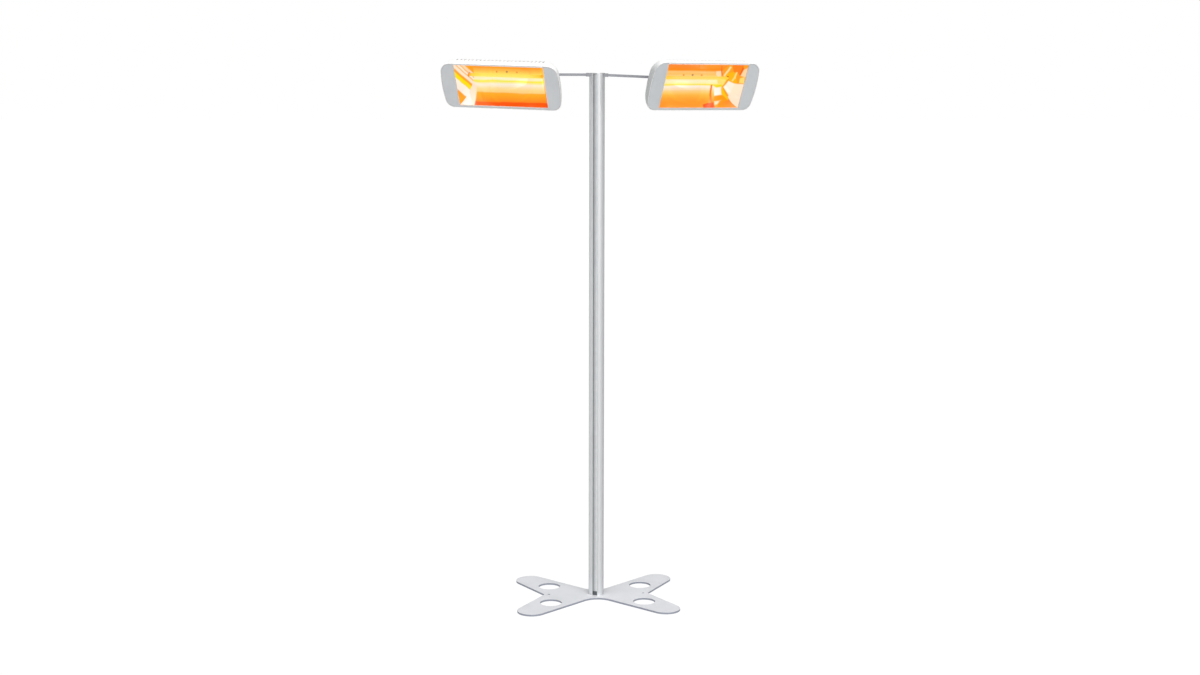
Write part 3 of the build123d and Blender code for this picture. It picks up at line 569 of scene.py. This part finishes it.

# %% [markdown]
# ## Hot mirror
# The trough is bright rolled aluminium. With the lamp lit it shows bands that run along the
# head: orange by the lower rim, and red-orange below that in the left head, then peach, near
# white where the curve gathers the lamp's light, a thin yellow line, cream, yellow and orange
# again. A mirror could make them by itself, but only from the exact curve of the real sheet,
# so they are drawn as painted reflections. The two heads are seen from different sides, so
# each has its own list, of (angle, colour): a band keeps its angle about a line through the
# trough's middle.

# %% Bands of the trough
# The bands are painted reflections of the lamp, laid on the mirrors as emission.
bands = {
    "left": [
        (-112, "#F05A14"), (-104, "#F5581A"), (-101, "#FD8826"), (-94, "#FD9A2A"),
        (-83, "#FFAC2B"), (-78, "#F8AF34"), (-75, "#FFD68A"), (-66, "#FEDE96"),
        (-58, "#FDE9C0"), (-51, "#FDF1DC"), (-45, "#FEF0A0"), (-40, "#F8EC2A"),
        (-36, "#FBF08A"), (-31, "#FEF6CE"), (-24, "#FCF0A8"), (-16, "#FFE070"),
        (-7, "#FED860"), (2, "#FCC050"), (11, "#FDB24A"), (19, "#FA9E2D"),
    ],
    "right": [
        (-109, "#FA9A36"), (-95, "#FE9E32"), (-89, "#FFA539"), (-82, "#FEAF3E"),
        (-75, "#FEBC4A"), (-68, "#FECB66"), (-60, "#FED994"), (-53, "#FEE6C2"),
        (-46, "#FEF1E4"), (-42, "#FEEFB0"), (-38, "#FBE02C"), (-34, "#FFF2A0"),
        (-28, "#FFF4C8"), (-21, "#FDF0C0"), (-14, "#FBD070"), (-6, "#FED480"),
        (4, "#FAC268"), (14, "#FEC880"), (19, "#FEA642"), (23, "#FF8C20"),
        (48, "#F0822E"),
    ],
}
print({side: len(stops) for side, stops in bands.items()}, "bands")

# %% [markdown]
# ### Reading the bands
# The angle of a point about the trough's middle line is what the colour ramp reads. Rolling
# leaves a sheet slightly wavy, so a noise that is stretched along the head will bend the angle.

# %% Reading the bands
opening_rise = 1.5
band_centre_depth = 46.0
band_reach = 120.0


def lamp_angle(tree, spot):
    """The angle about the trough's middle line, in degrees, 0 straight back and + upwards."""
    axis = add(tree, "SeparateXYZ", {"Vector": spot})
    back = add(tree, "Math", {0: axis.outputs["Y"], 1: band_centre_depth}, operation="SUBTRACT")
    rise = add(tree, "Math", {0: axis.outputs["Z"], 1: opening_rise}, operation="SUBTRACT")
    angle = add(tree, "Math", {0: rise.outputs[0], 1: back.outputs[0]}, operation="ARCTAN2")
    return add(tree, "Math", {0: angle.outputs[0]}, operation="DEGREES").outputs[0]


def band_colour(tree, angle, side):
    """The colour of the band that lies at an angle."""
    share = add(
        tree, "MapRange", {"Value": angle, "From Min": -band_reach, "From Max": band_reach}
    ).outputs["Result"]
    stops = [((degrees / band_reach + 1) / 2, tone) for degrees, tone in bands[side]]
    return add(tree, "ValToRGB", {"Fac": share}, stops=stops).outputs["Color"]


def stretched_noise(tree, spot, along, across):
    """A noise around zero, with grains of one length along the head and another across."""
    squeezed = add(
        tree, "Mapping", {"Vector": spot, "Scale": (1 / along, 1 / across, 1 / across)}
    ).outputs["Vector"]
    noise = add(tree, "TexNoise", {"Vector": squeezed, "Scale": 1.0, "Detail": 2.0})
    return add(tree, "Math", {0: noise.outputs["Fac"], 1: 0.5}, operation="SUBTRACT").outputs[0]


print("bands reach", band_reach, "degrees either way")

# %% [markdown]
# ### Facets at the ends
# Near its slanted ends the trough shows mirror images of its own bands and of the lamp, as
# straight-edged facets in white, peach, yellow and orange. Each facet is a convex outline. On
# an end mirror its corners count depth and height in the head's frame, and on the trough they
# count the place along the head and the angle about the middle line. A point lies inside
# where it is on the inner side of every edge, so the facet's share is the least of the
# distances to its edges, made soft over a few millimetres or degrees.

# %% Facets
facet_softness = 2.2


def clockwise(corners):
    """The same corners, in clockwise order."""
    pairs = zip(corners, corners[1:] + corners[:1])
    area = sum(ax * by - bx * ay for (ax, ay), (bx, by) in pairs)
    return list(corners) if area < 0 else list(reversed(corners))


def outline_share(tree, across, up, corners):
    """How far inside a convex outline a point lies, from 0 to 1. Corners run clockwise."""
    point = add(tree, "CombineXYZ", {"X": across, "Y": up}).outputs["Vector"]
    least = None
    for (ax, ay), (bx, by) in zip(corners, corners[1:] + corners[:1]):
        length = math.hypot(bx - ax, by - ay)
        inward = ((by - ay) / length, (ax - bx) / length)
        reach = add(
            tree, "VectorMath", {0: point, 1: (*inward, 0)}, operation="DOT_PRODUCT"
        ).outputs["Value"]
        offset = inward[0] * ax + inward[1] * ay
        gap = add(tree, "Math", {0: reach, 1: offset}, operation="SUBTRACT").outputs[0]
        if least is None:
            least = gap
        else:
            least = add(tree, "Math", {0: least, 1: gap}, operation="MINIMUM").outputs[0]
    return add(
        tree, "MapRange", {"Value": least, "From Min": -facet_softness, "From Max": facet_softness}
    ).outputs["Result"]


def with_facets(tree, colour, across, up, facets):
    """Lays the facets over a colour, one after another."""
    for hex_colour, corners in facets:
        share = outline_share(tree, across, up, clockwise(corners))
        inputs = {0: share, 6: colour, 7: linear(hex_colour)}
        colour = add(tree, "Mix", inputs, data_type="RGBA").outputs[2]
    return colour


print("facets are soft over", 2 * facet_softness, "mm")

# %% [markdown]
# ### Where the facets lie
# The outlines were read off the photograph and turned into the head's frame, in whole
# millimetres and degrees. The left head's far end shows broad parallel stripes, and the right
# head's a broken star of small pieces, of which the finest are left out. Later facets lie over
# earlier ones.

# %% Where the facets lie
# The facets are painted reflections, laid on the mirrors as emission.
trough_facets = {
    "left": [
        ("#FFE9D2", [(-180, -116), (-180, -40), (-134, -42), (-122, -60), (-117, -116)]),
        ("#FFF9F2", [(-180, -116), (-180, -80), (-148, -74), (-138, -96), (-126, -114)]),
    ],
    "right": [
        ("#F27A1A", [(88, -38), (95, -38), (70, -118), (58, -118)]),
        ("#EA3E08", [(28, -104), (50, -98), (80, -96), (70, -120), (18, -120)]),
        ("#F58C28", [(110, -94), (160, -88), (168, -118), (77, -118)]),
        ("#F99A1C", [(95, -76), (129, -73), (161, -88), (117, -96), (85, -93)]),
        ("#FFFAF2", [(100, -50), (130, -48), (129, -72), (95, -76)]),
        ("#FFE4C8", [(85, -94), (113, -91), (91, -103), (80, -104)]),
        ("#F8CA18", [(133, -42), (146, -44), (162, -85), (146, -89), (131, -72)]),
        ("#F0DE20", [(95, -40), (110, -48), (142, -44), (138, -38)]),
        ("#FBE07A", [(112, -8), (145, -8), (145, -36), (118, -34)]),
        ("#FFE4BA", [(101, 17), (122, 17), (128, -5), (115, -5), (103, 2)]),
        ("#F0682A", [(108, 50), (114, 50), (136, -4), (131, -4)]),
    ],
}
mirror_facets = {
    "left": [
        ("#FFF3E6", [(0, -12), (0, 42), (110, -128), (110, -182)]),
        ("#F8E00C", [(0, 43), (0, 66), (110, -104), (110, -127)]),
        ("#FFE3CC", [(0, 82), (0, 103), (110, -67), (110, -88)]),
        ("#FFEBDC", [(0, 109), (0, 122), (110, -48), (110, -61)]),
        ("#FFD7B4", [(0, 128), (0, 146), (110, -24), (110, -42)]),
    ],
    "right": [
        ("#FAB81A", [(84, 18), (53, 40), (31, -3), (71, -8), (87, -9)]),
        ("#F98424", [(72, 60), (22, 90), (24, 62), (32, 39), (57, 36)]),
        ("#FFF4E4", [(71, -8), (31, -5), (37, -73), (86, -41)]),
        ("#FFEFD6", [(42, -6), (0, 12), (0, -100), (14, -100), (56, -68)]),
        ("#FFD9A8", [(20, 63), (0, 82), (3, 39), (28, 35)]),
        ("#FFE27A", [(24, 6), (25, 24), (9, 39), (2, 14)]),
        ("#E8641C", [(25, 74), (19, 68), (27, 34), (32, 36)]),
        ("#FFE2A8", [(79, 50), (72, 50), (90, 2), (97, 2)]),
        ("#FFE08A", [(48, 40), (42, 42), (43, 16), (50, 15)]),
        ("#FFE08A", [(50, 17), (43, 18), (52, -1), (58, -1)]),
        ("#FBE07A", [(108, -9), (88, -2), (81, -10), (90, -37), (108, -41)]),
    ],
}
mirror_ground = {"left": "#FFA224", "right": "#FDA32A"}
print(sum(len(f) for f in (*trough_facets.values(), *mirror_facets.values())), "facets")

# %% [markdown]
# ### The lit mirrors
# Both mirrors end in the same shader: the painted light as emission, and the same tone, much
# darker, as the tint of the metal. An end mirror's back sees no lamp, so its emission is
# switched off beyond the sheet's middle. The trough's back has a faint painted glow, for the
# little of the lamp's light that leaks round the trough's ends into the housing, and it pales
# the louvres. Round the small hole in the trough's middle the painted light turns brown in a
# narrow ring. A wave bends the bands: its length along the head, its width across it and its
# height in degrees.

# %% Lit mirrors
sheet_thickness = 1.0
back_depth = 102.0
mouth_depth = 4.0
end_slope = 42.0 / 98.0
centre_hole = (0.0, back_depth, opening_rise)
ring_inner, ring_outer = 2.4, 5.0
sheet_bend = 7.0
bend_size = 40
waves = ((150, 90, 11), (260, 7, 6))


def lit_metal(tree, shader, colour, lit_share=1.0):
    """Emission in a colour where the lamp's light falls, over metal of a darker tint of it."""
    switched = {0: lit_share, 6: linear("#000000"), 7: colour}
    glow = add(tree, "Mix", switched, data_type="RGBA")
    darkened = {0: 1.0, 6: colour, 7: linear("#707070")}
    tint = add(tree, "Mix", darkened, data_type="RGBA", blend_type="MULTIPLY")
    finish = {
        "Base Color": tint.outputs[2],
        "Metallic": 1.0,
        "Roughness": 0.12,
        "Emission Color": glow.outputs[2],
        "Emission Strength": 0.9,
    }
    feed(shader, finish)


def bent(tree, spot, axis_name):
    """One coordinate, bent a few millimetres either way as thin sheet is."""
    straight = add(tree, "SeparateXYZ", {"Vector": spot}).outputs[axis_name]
    bend = stretched_noise(tree, spot, bend_size, bend_size)
    return add(
        tree, "Math", {0: bend, 1: sheet_bend, 2: straight}, operation="MULTIPLY_ADD"
    ).outputs[0]


def trough_mirror(side):
    """The trough's bright rolled aluminium, with the lamp's light and its reflections painted on as
    emission.
    """
    material, tree, shader = start_material(f"bright_rolled_aluminium_trough_{side}")
    spot = head_millimetres(tree, side)
    angle = lamp_angle(tree, spot)
    for along, across, degrees in waves:
        angle = add(
            tree,
            "Math",
            {0: stretched_noise(tree, spot, along, across), 1: degrees, 2: angle},
            operation="MULTIPLY_ADD",
        ).outputs[0]
    colour = band_colour(tree, angle, side)
    colour = with_facets(tree, colour, bent(tree, spot, "X"), angle, trough_facets[side])
    # A narrow brown ring in the painted light round the small hole.
    from_hole = add(
        tree, "VectorMath", {0: spot, 1: centre_hole}, operation="DISTANCE"
    ).outputs["Value"]
    fading = {"From Min": ring_inner, "From Max": ring_outer, "To Min": 1.0, "To Max": 0.0}
    hole_ring = add(tree, "MapRange", {"Value": from_hole, **fading}).outputs["Result"]
    inputs = {0: hole_ring, 6: colour, 7: linear("#C4581A")}
    ringed = add(tree, "Mix", inputs, data_type="RGBA")
    lit_metal(tree, shader, ringed.outputs[2])
    return material


def end_mirror(side):
    """The end mirrors' bright sheet. The outer one of each head shows the facets, the other
    carries on the trough's bands, and their backs see no lamp."""
    material, tree, shader = start_material(f"bright_rolled_aluminium_ends_{side}")
    spot = head_millimetres(tree, side)
    axis = add(tree, "SeparateXYZ", {"Vector": spot})
    ground = linear(mirror_ground[side])
    depth = bent(tree, spot, "Y")
    images = with_facets(tree, ground, depth, axis.outputs["Z"], mirror_facets[side])
    outer = add(
        tree,
        "Math",
        {0: axis.outputs["X"], 1: 0.0},
        operation="LESS_THAN" if side == "left" else "GREATER_THAN",
    ).outputs[0]
    carried_on = band_colour(tree, lamp_angle(tree, spot), side)
    inputs = {0: 1.0, 6: carried_on, 7: linear("#FADCA0")}
    dim = add(tree, "Mix", inputs, data_type="RGBA", blend_type="MULTIPLY")
    colour = add(tree, "Mix", {0: outer, 6: dim.outputs[2], 7: images}, data_type="RGBA").outputs[2]
    away = add(tree, "Math", {0: axis.outputs["X"]}, operation="ABSOLUTE").outputs[0]
    beyond = add(
        tree, "Math", {0: axis.outputs["Y"], 1: end_slope, 2: away}, operation="MULTIPLY_ADD"
    ).outputs[0]
    front = half_opening + end_slope * mouth_depth + sheet_thickness / 2
    inner = add(tree, "Math", {0: beyond, 1: front}, operation="LESS_THAN").outputs[0]
    lit_metal(tree, shader, colour, inner)
    return material


trough_mirrors = {side: trough_mirror(side) for side in head_frames}
end_mirrors = {side: end_mirror(side) for side in head_frames}
plain_sheet = bare_metal("bright_rolled_aluminium_back", "#D6D7D8", "#C8C9CB", 0.4, 20.0)
# Painted light: a faint emission on the trough's back stands in for lamp light leaking round its
# ends.
glow = {"Emission Color": linear("#FFF6EC"), "Emission Strength": 0.1}
feed(plain_sheet.node_tree.nodes["Principled BSDF"], glow)
# The trough's screws carry painted light: a warm brown tone and an orange emission for the lamp's
# light on them.
lit_screw = bare_metal("zinc_plated_steel_in_lamp_light", "#7A6450", "#6A5644", 0.3, 2.0)
glow = {"Emission Color": linear("#F4A040"), "Emission Strength": 0.85}
feed(lit_screw.node_tree.nodes["Principled BSDF"], glow)
print("lit mirrors for", ", ".join(trough_mirrors))

# %% [markdown]
# ## Quartz and tungsten
# The lamp is a quartz tube with a thin gold coat, which softens the light of the white-hot
# tungsten coil inside to an even yellow. Little shows through the coat, so the tube glows by
# itself and lets only a little through. Its ends, in their sockets, are cooler and darker.

# %% Quartz and tungsten
coil_grain = 8
hot_wire, tree, shader = start_material("tungsten_wire_white_hot")
wire_spot = millimetres(tree)
wire_noise = add(tree, "TexNoise", {"Vector": wire_spot, "Scale": 1 / coil_grain})
wire_tones = [(0.3, "#FFC46B"), (0.7, "#FFD68F")]
wire_glow = add(tree, "ValToRGB", {"Fac": wire_noise.outputs["Fac"]}, stops=wire_tones)
finish = {
    "Base Color": linear("#8A8580"),
    "Metallic": 1.0,
    "Emission Color": wire_glow.outputs["Color"],
    "Emission Strength": 4.0,
}
feed(shader, finish)

tube_reach = 160.0
tone_shift = 40.0
tube_tones = {"left": ("#FFDE68", "#FFE060"), "right": ("#FACC6A", "#FCCE62")}


def hot_quartz(side):
    """Gold-coated quartz, yellow along the tube and orange towards its ends."""
    material, tree, shader = start_material(f"fused_quartz_gold_coated_{side}")
    spot = head_millimetres(tree, side)
    along = add(tree, "SeparateXYZ", {"Vector": spot}).outputs["X"]
    away = add(tree, "Math", {0: along}, operation="ABSOLUTE").outputs[0]
    cloud = stretched_noise(tree, spot, along=60, across=20)
    place = add(
        tree, "Math", {0: cloud, 1: tone_shift, 2: away}, operation="MULTIPLY_ADD"
    ).outputs[0]
    share = add(
        tree, "MapRange", {"Value": place, "From Min": 0.0, "From Max": tube_reach}
    ).outputs["Result"]
    middle, outer = tube_tones[side]
    tones = [(0.0, middle), (0.6, outer), (0.82, "#FFC83A"), (0.92, "#DA5A1C")]
    glow = add(tree, "ValToRGB", {"Fac": share}, stops=tones)
    finish = {
        "Base Color": linear("#B98A3A"),
        "Roughness": 0.15,
        "IOR": 1.46,
        "Transmission Weight": 0.06,
        "Emission Color": glow.outputs["Color"],
        "Emission Strength": 0.86,
    }
    feed(shader, finish)
    return material


hot_quartzes = {side: hot_quartz(side) for side in head_frames}
print("lamp materials ready")

# %% [markdown]
# ## Finishes on the CAD nodes
# Most solids keep their CAD mesh and only change their finish. A node's material slots are
# filled by its name. Both sides share the same words after left_ or right_, and three of the
# pieces have a finish of their own on each side.

# %% Finishes on the CAD nodes
stand_finishes = {
    "base_plate": foot_coat,
    "lower_pole": pole_metal,
    "upper_pole": pole_metal,
    "lower_cable_duct": strip_plastic,
    "upper_cable_duct": strip_plastic,
    "top_cap": cap_metal,
    "foot_plug": cast_metal,
    "pole_joiner": cast_metal,
    "crosshead": cast_metal,
    "arm_collars": collar_nylon,
    "base_screws": zinc_plate,
    "pole_screws": zinc_plate,
    "arm_screws": zinc_plate,
    "cap_screw": zinc_plate,
    "left_arm": arm_metal,
    "right_arm": arm_metal,
}
side_finishes = {
    "bezel_seal": seal_rubber,
    "bezel_screws": zinc_plate,
    "reflector_screws": lit_screw,
    "lamp_caps": steatite,
    "lamp_holders": steatite,
    "terminal_block": steatite,
    "holder_brackets": bracket_metal,
    "tilt_lug": cast_metal,
    "lug_screws": zinc_plate,
    "cable_gland": gland_nylon,
    "swivel_discs": collar_nylon,
    "tilt_bracket": bracket_metal,
    "swivel_bolt": zinc_plate,
    "swivel_nut": zinc_plate,
    "tilt_bolt": zinc_plate,
    "tilt_nut": zinc_plate,
}
own_finishes = {
    "housing": housing_coats,
    "bezel": frame_coats,
    "end_mirrors": end_mirrors,
}


def finish_node(name, material):
    """Fills every material slot of a CAD node."""
    for slot in nodes[name].material_slots:
        slot.material = material


for name, material in stand_finishes.items():
    finish_node(name, material)
for side in head_frames:
    for name, material in side_finishes.items():
        finish_node(f"{side}_{name}", material)
    for name, finishes in own_finishes.items():
        finish_node(f"{side}_{name}", finishes[side])
side_count = len(side_finishes) + len(own_finishes)
print("finished", len(stand_finishes) + 2 * side_count, "nodes")

# %% [markdown]
# ## Mirror trough
# The trough is one sheet: a narrow flat back, and a curved wall above and below it that opens
# to the mouth. A mirror shows every facet of its mesh, so the CAD mesh is replaced by a
# smoother one. An edge that runs along the head is spun about the wall's own centre, which
# gives the curve in even steps; the slanted ends are then cut off with two planes.

# %% Mirror trough
half_mouth = 91.0
bulge = (65.0, 68.0)
half_flat = 24.0
wall_steps = 64


def arc_centre(first, middle, last):
    """Centre of the circle through three points."""
    (ax, ay), (bx, by), (cx, cy) = first, middle, last
    d = 2 * (ax * (by - cy) + bx * (cy - ay) + cx * (ay - by))
    a, b, c = ax * ax + ay * ay, bx * bx + by * by, cx * cx + cy * cy
    return (
        (a * (by - cy) + b * (cy - ay) + c * (ay - by)) / d,
        (a * (cx - bx) + b * (ax - cx) + c * (bx - ax)) / d,
    )


wall_centre = arc_centre((back_depth, half_flat), bulge, (mouth_depth, half_mouth))
first_angle = math.atan2(half_flat - wall_centre[1], back_depth - wall_centre[0])
last_angle = math.atan2(half_mouth - wall_centre[1], mouth_depth - wall_centre[0])
sweep = last_angle - first_angle
print(f"wall centre {wall_centre[0]:.1f}, {wall_centre[1]:.1f} mm, sweep {math.degrees(sweep):.1f}")

# %% [markdown]
# ### From a bmesh to a piece on the head
# Every new piece is made in the head's frame, in millimetres. Its points are then moved to
# their place and turned to metres, so that the object itself stays unturned at the origin, and
# the piece rides on the head.


# %% From a bmesh to a piece
def finished_object(mesh_data, name, side, material):
    """Puts a bmesh, made in millimetres in the head's frame, in its place as an object."""
    place = head_frames[side] @ Matrix.Diagonal((0.001, 0.001, 0.001, 1.0))
    bmesh.ops.transform(mesh_data, matrix=place, verts=mesh_data.verts)
    mesh = bpy.data.meshes.new(name)
    mesh_data.to_mesh(mesh)
    mesh_data.free()
    mesh.shade_smooth()
    mesh.materials.append(material)
    made = bpy.data.objects.new(name, mesh)
    bpy.context.scene.collection.objects.link(made)
    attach(made, f"{side}_heater_head")
    return made


print("heads:", ", ".join(head_frames))

# %% [markdown]
# ### The sheet and its hole
# The two spun walls and the flat back between them make the sheet. Four cuts leave a small
# square in its middle; without that face, and with its corners bevelled in two steps, it is a
# nearly round hole. A corner is cut back by 0.586 of the hole's radius, 2 minus the root of 2,
# which in one step would make the square an even octagon.

# %% The sheet and its hole
hole_radius = 2.2
corner_cut = 0.586
spare_length = 10
same_place = 1e-3


def cut_centre_hole(made):
    """Cuts the small round hole in the middle of the flat back."""
    for direction in (1, -1):
        reach = direction * hole_radius
        cuts = (((reach, 0, 0), (1, 0, 0)), ((0, 0, opening_rise + reach), (0, 0, 1)))
        for offset, normal in cuts:
            bmesh.ops.bisect_plane(
                made,
                geom=made.verts[:] + made.edges[:] + made.faces[:],
                plane_co=offset,
                plane_no=normal,
            )
    middle = Vector(centre_hole)
    square = min(made.faces, key=lambda face: (face.calc_center_median() - middle).length)
    corners = list(square.verts)
    bmesh.ops.delete(made, geom=[square], context="FACES_ONLY")
    bmesh.ops.bevel(
        made,
        geom=corners,
        affect="VERTICES",
        offset=corner_cut * hole_radius,
        segments=2,
        profile=0.5,
        material=-1,
    )


def on_flat_back(corners):
    """Whether all these corners lie at the depth of the flat back."""
    return all(abs(v.co.y - back_depth) < same_place for v in corners)


def trough_sheet():
    """The trough as an open sheet, before its thickness."""
    made = bmesh.new()
    reach = half_opening + spare_length
    for direction in (1, -1):
        crease = direction * half_flat + opening_rise
        ends = [made.verts.new((x, back_depth, crease)) for x in (-reach, reach)]
        edge = made.edges.new(ends)
        bmesh.ops.spin(
            made,
            geom=[*ends, edge],
            cent=(0, wall_centre[0], direction * wall_centre[1] + opening_rise),
            axis=(1, 0, 0),
            angle=direction * sweep,
            steps=wall_steps,
        )
    creases = [edge for edge in made.edges if on_flat_back(edge.verts)]
    bmesh.ops.bridge_loops(made, edges=creases)
    for direction in (1, -1):
        bmesh.ops.bisect_plane(
            made,
            geom=made.verts[:] + made.edges[:] + made.faces[:],
            plane_co=(direction * half_opening, mouth_depth, 0),
            plane_no=(direction, end_slope, 0),
            clear_outer=True,
        )
    cut_centre_hole(made)
    bmesh.ops.recalc_face_normals(made, faces=made.faces)
    if sum(f.normal.y * f.calc_area() for f in made.faces) > 0:
        bmesh.ops.reverse_faces(made, faces=made.faces)
    return made


def mark_creases(made):
    """Keeps the two bends beside the flat back sharp when the sheet is shaded smooth."""
    for edge in made.edges:
        flat = [on_flat_back(face.verts) for face in edge.link_faces]
        if len(flat) == 2 and flat[0] != flat[1]:
            edge.smooth = False


print("hole", 2 * hole_radius, "mm wide")

# %% [markdown]
# ### A trough in each head
# The sheet's faces look towards the mouth. A Solidify modifier gives it its thickness away from
# the lamp, and puts the plain finish on the back and the rim, which don't face the lamp.

# %% A trough in each head
for side in head_frames:
    sheet = trough_sheet()
    mark_creases(sheet)
    trough = finished_object(sheet, f"{side}_mirror_trough", side, trough_mirrors[side])
    trough.data.materials.append(plain_sheet)
    wall = trough.modifiers.new("sheet", "SOLIDIFY")
    wall.thickness = sheet_thickness / 1000
    wall.offset = -1.0
    wall.material_offset = 1
    wall.material_offset_rim = 1
    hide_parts(f"{side}_reflector")
    print(trough.name, len(trough.data.polygons), "faces")

# %% [markdown]
# ## Lamp tube
# The quartz tube is drawn glass. Turning its wall's section about the lamp's axis gives the
# whole tube in one spin. Both cut ends are rounded a little, as a flame leaves them, by the
# corners of the section.

# %% Lamp tube
lamp_depth = 76.0
tube_radius = 6.0
tube_wall = 1.2
tube_half = 153.8
tube_steps = 32
end_softness = 0.3


def lamp_tube():
    """The tube's wall as a closed section, turned about the lamp's axis."""
    made = bmesh.new()
    inner = tube_radius - tube_wall
    straight_half = tube_half - end_softness
    section = [
        (-straight_half, inner),
        (-tube_half, inner + end_softness),
        (-tube_half, tube_radius - end_softness),
        (-straight_half, tube_radius),
        (straight_half, tube_radius),
        (tube_half, tube_radius - end_softness),
        (tube_half, inner + end_softness),
        (straight_half, inner),
    ]
    corners = [made.verts.new((x, lamp_depth, opening_rise + r)) for x, r in section]
    outline = [made.edges.new(pair) for pair in zip(corners, corners[1:] + corners[:1])]
    bmesh.ops.spin(
        made,
        geom=corners + outline,
        cent=(0, lamp_depth, opening_rise),
        axis=(1, 0, 0),
        angle=2 * math.pi,
        steps=tube_steps,
        use_merge=True,
    )
    bmesh.ops.remove_doubles(made, verts=made.verts, dist=1e-4)
    bmesh.ops.recalc_face_normals(made, faces=made.faces)
    return made


for side in head_frames:
    tube = finished_object(lamp_tube(), f"{side}_quartz_tube", side, hot_quartzes[side])
    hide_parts(f"{side}_lamp_tube")
    print(tube.name, len(tube.data.polygons), "faces")

# %% [markdown]
# ## Hot coil
# The filament is a long spring of tungsten wire. A small ring, the wire's section, is spun
# many turns about the lamp's axis while each step also moves it along the tube, which draws a
# helix. A curve with a bevel would do it too, but the spin says outright how many faces a turn
# has. The real turns lie closer together than a pixel, so they are drawn 3 mm apart.

# %% Hot coil
coil_radius = 1.5
wire_radius = 0.4
coil_pitch = 3.0
coil_half = 153.0
turn_steps = 14
wire_sides = 6
coil_turns = int(2 * coil_half / coil_pitch)


def hot_coil():
    """A wire ring spun along the tube as a spring."""
    made = bmesh.new()
    ring = bmesh.ops.create_circle(made, segments=wire_sides, radius=wire_radius)
    lay_over = Matrix.Translation((-coil_half, lamp_depth, opening_rise + coil_radius)) @ (
        Matrix.Rotation(math.radians(90), 4, "X")
    )
    bmesh.ops.transform(made, matrix=lay_over, verts=ring["verts"])
    steps = coil_turns * turn_steps
    bmesh.ops.spin(
        made,
        geom=made.verts[:] + made.edges[:],
        cent=(0, lamp_depth, opening_rise),
        axis=(1, 0, 0),
        dvec=(2 * coil_half / steps, 0, 0),
        angle=2 * math.pi * coil_turns,
        steps=steps,
    )
    loose_ends = [e for e in made.edges if e.is_boundary]
    bmesh.ops.holes_fill(made, edges=loose_ends, sides=wire_sides)
    bmesh.ops.recalc_face_normals(made, faces=made.faces)
    return made


for side in head_frames:
    coil = finished_object(hot_coil(), f"{side}_hot_coil", side, hot_wire)
    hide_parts(f"{side}_filament")
    print(coil.name, len(coil.data.polygons), "faces")
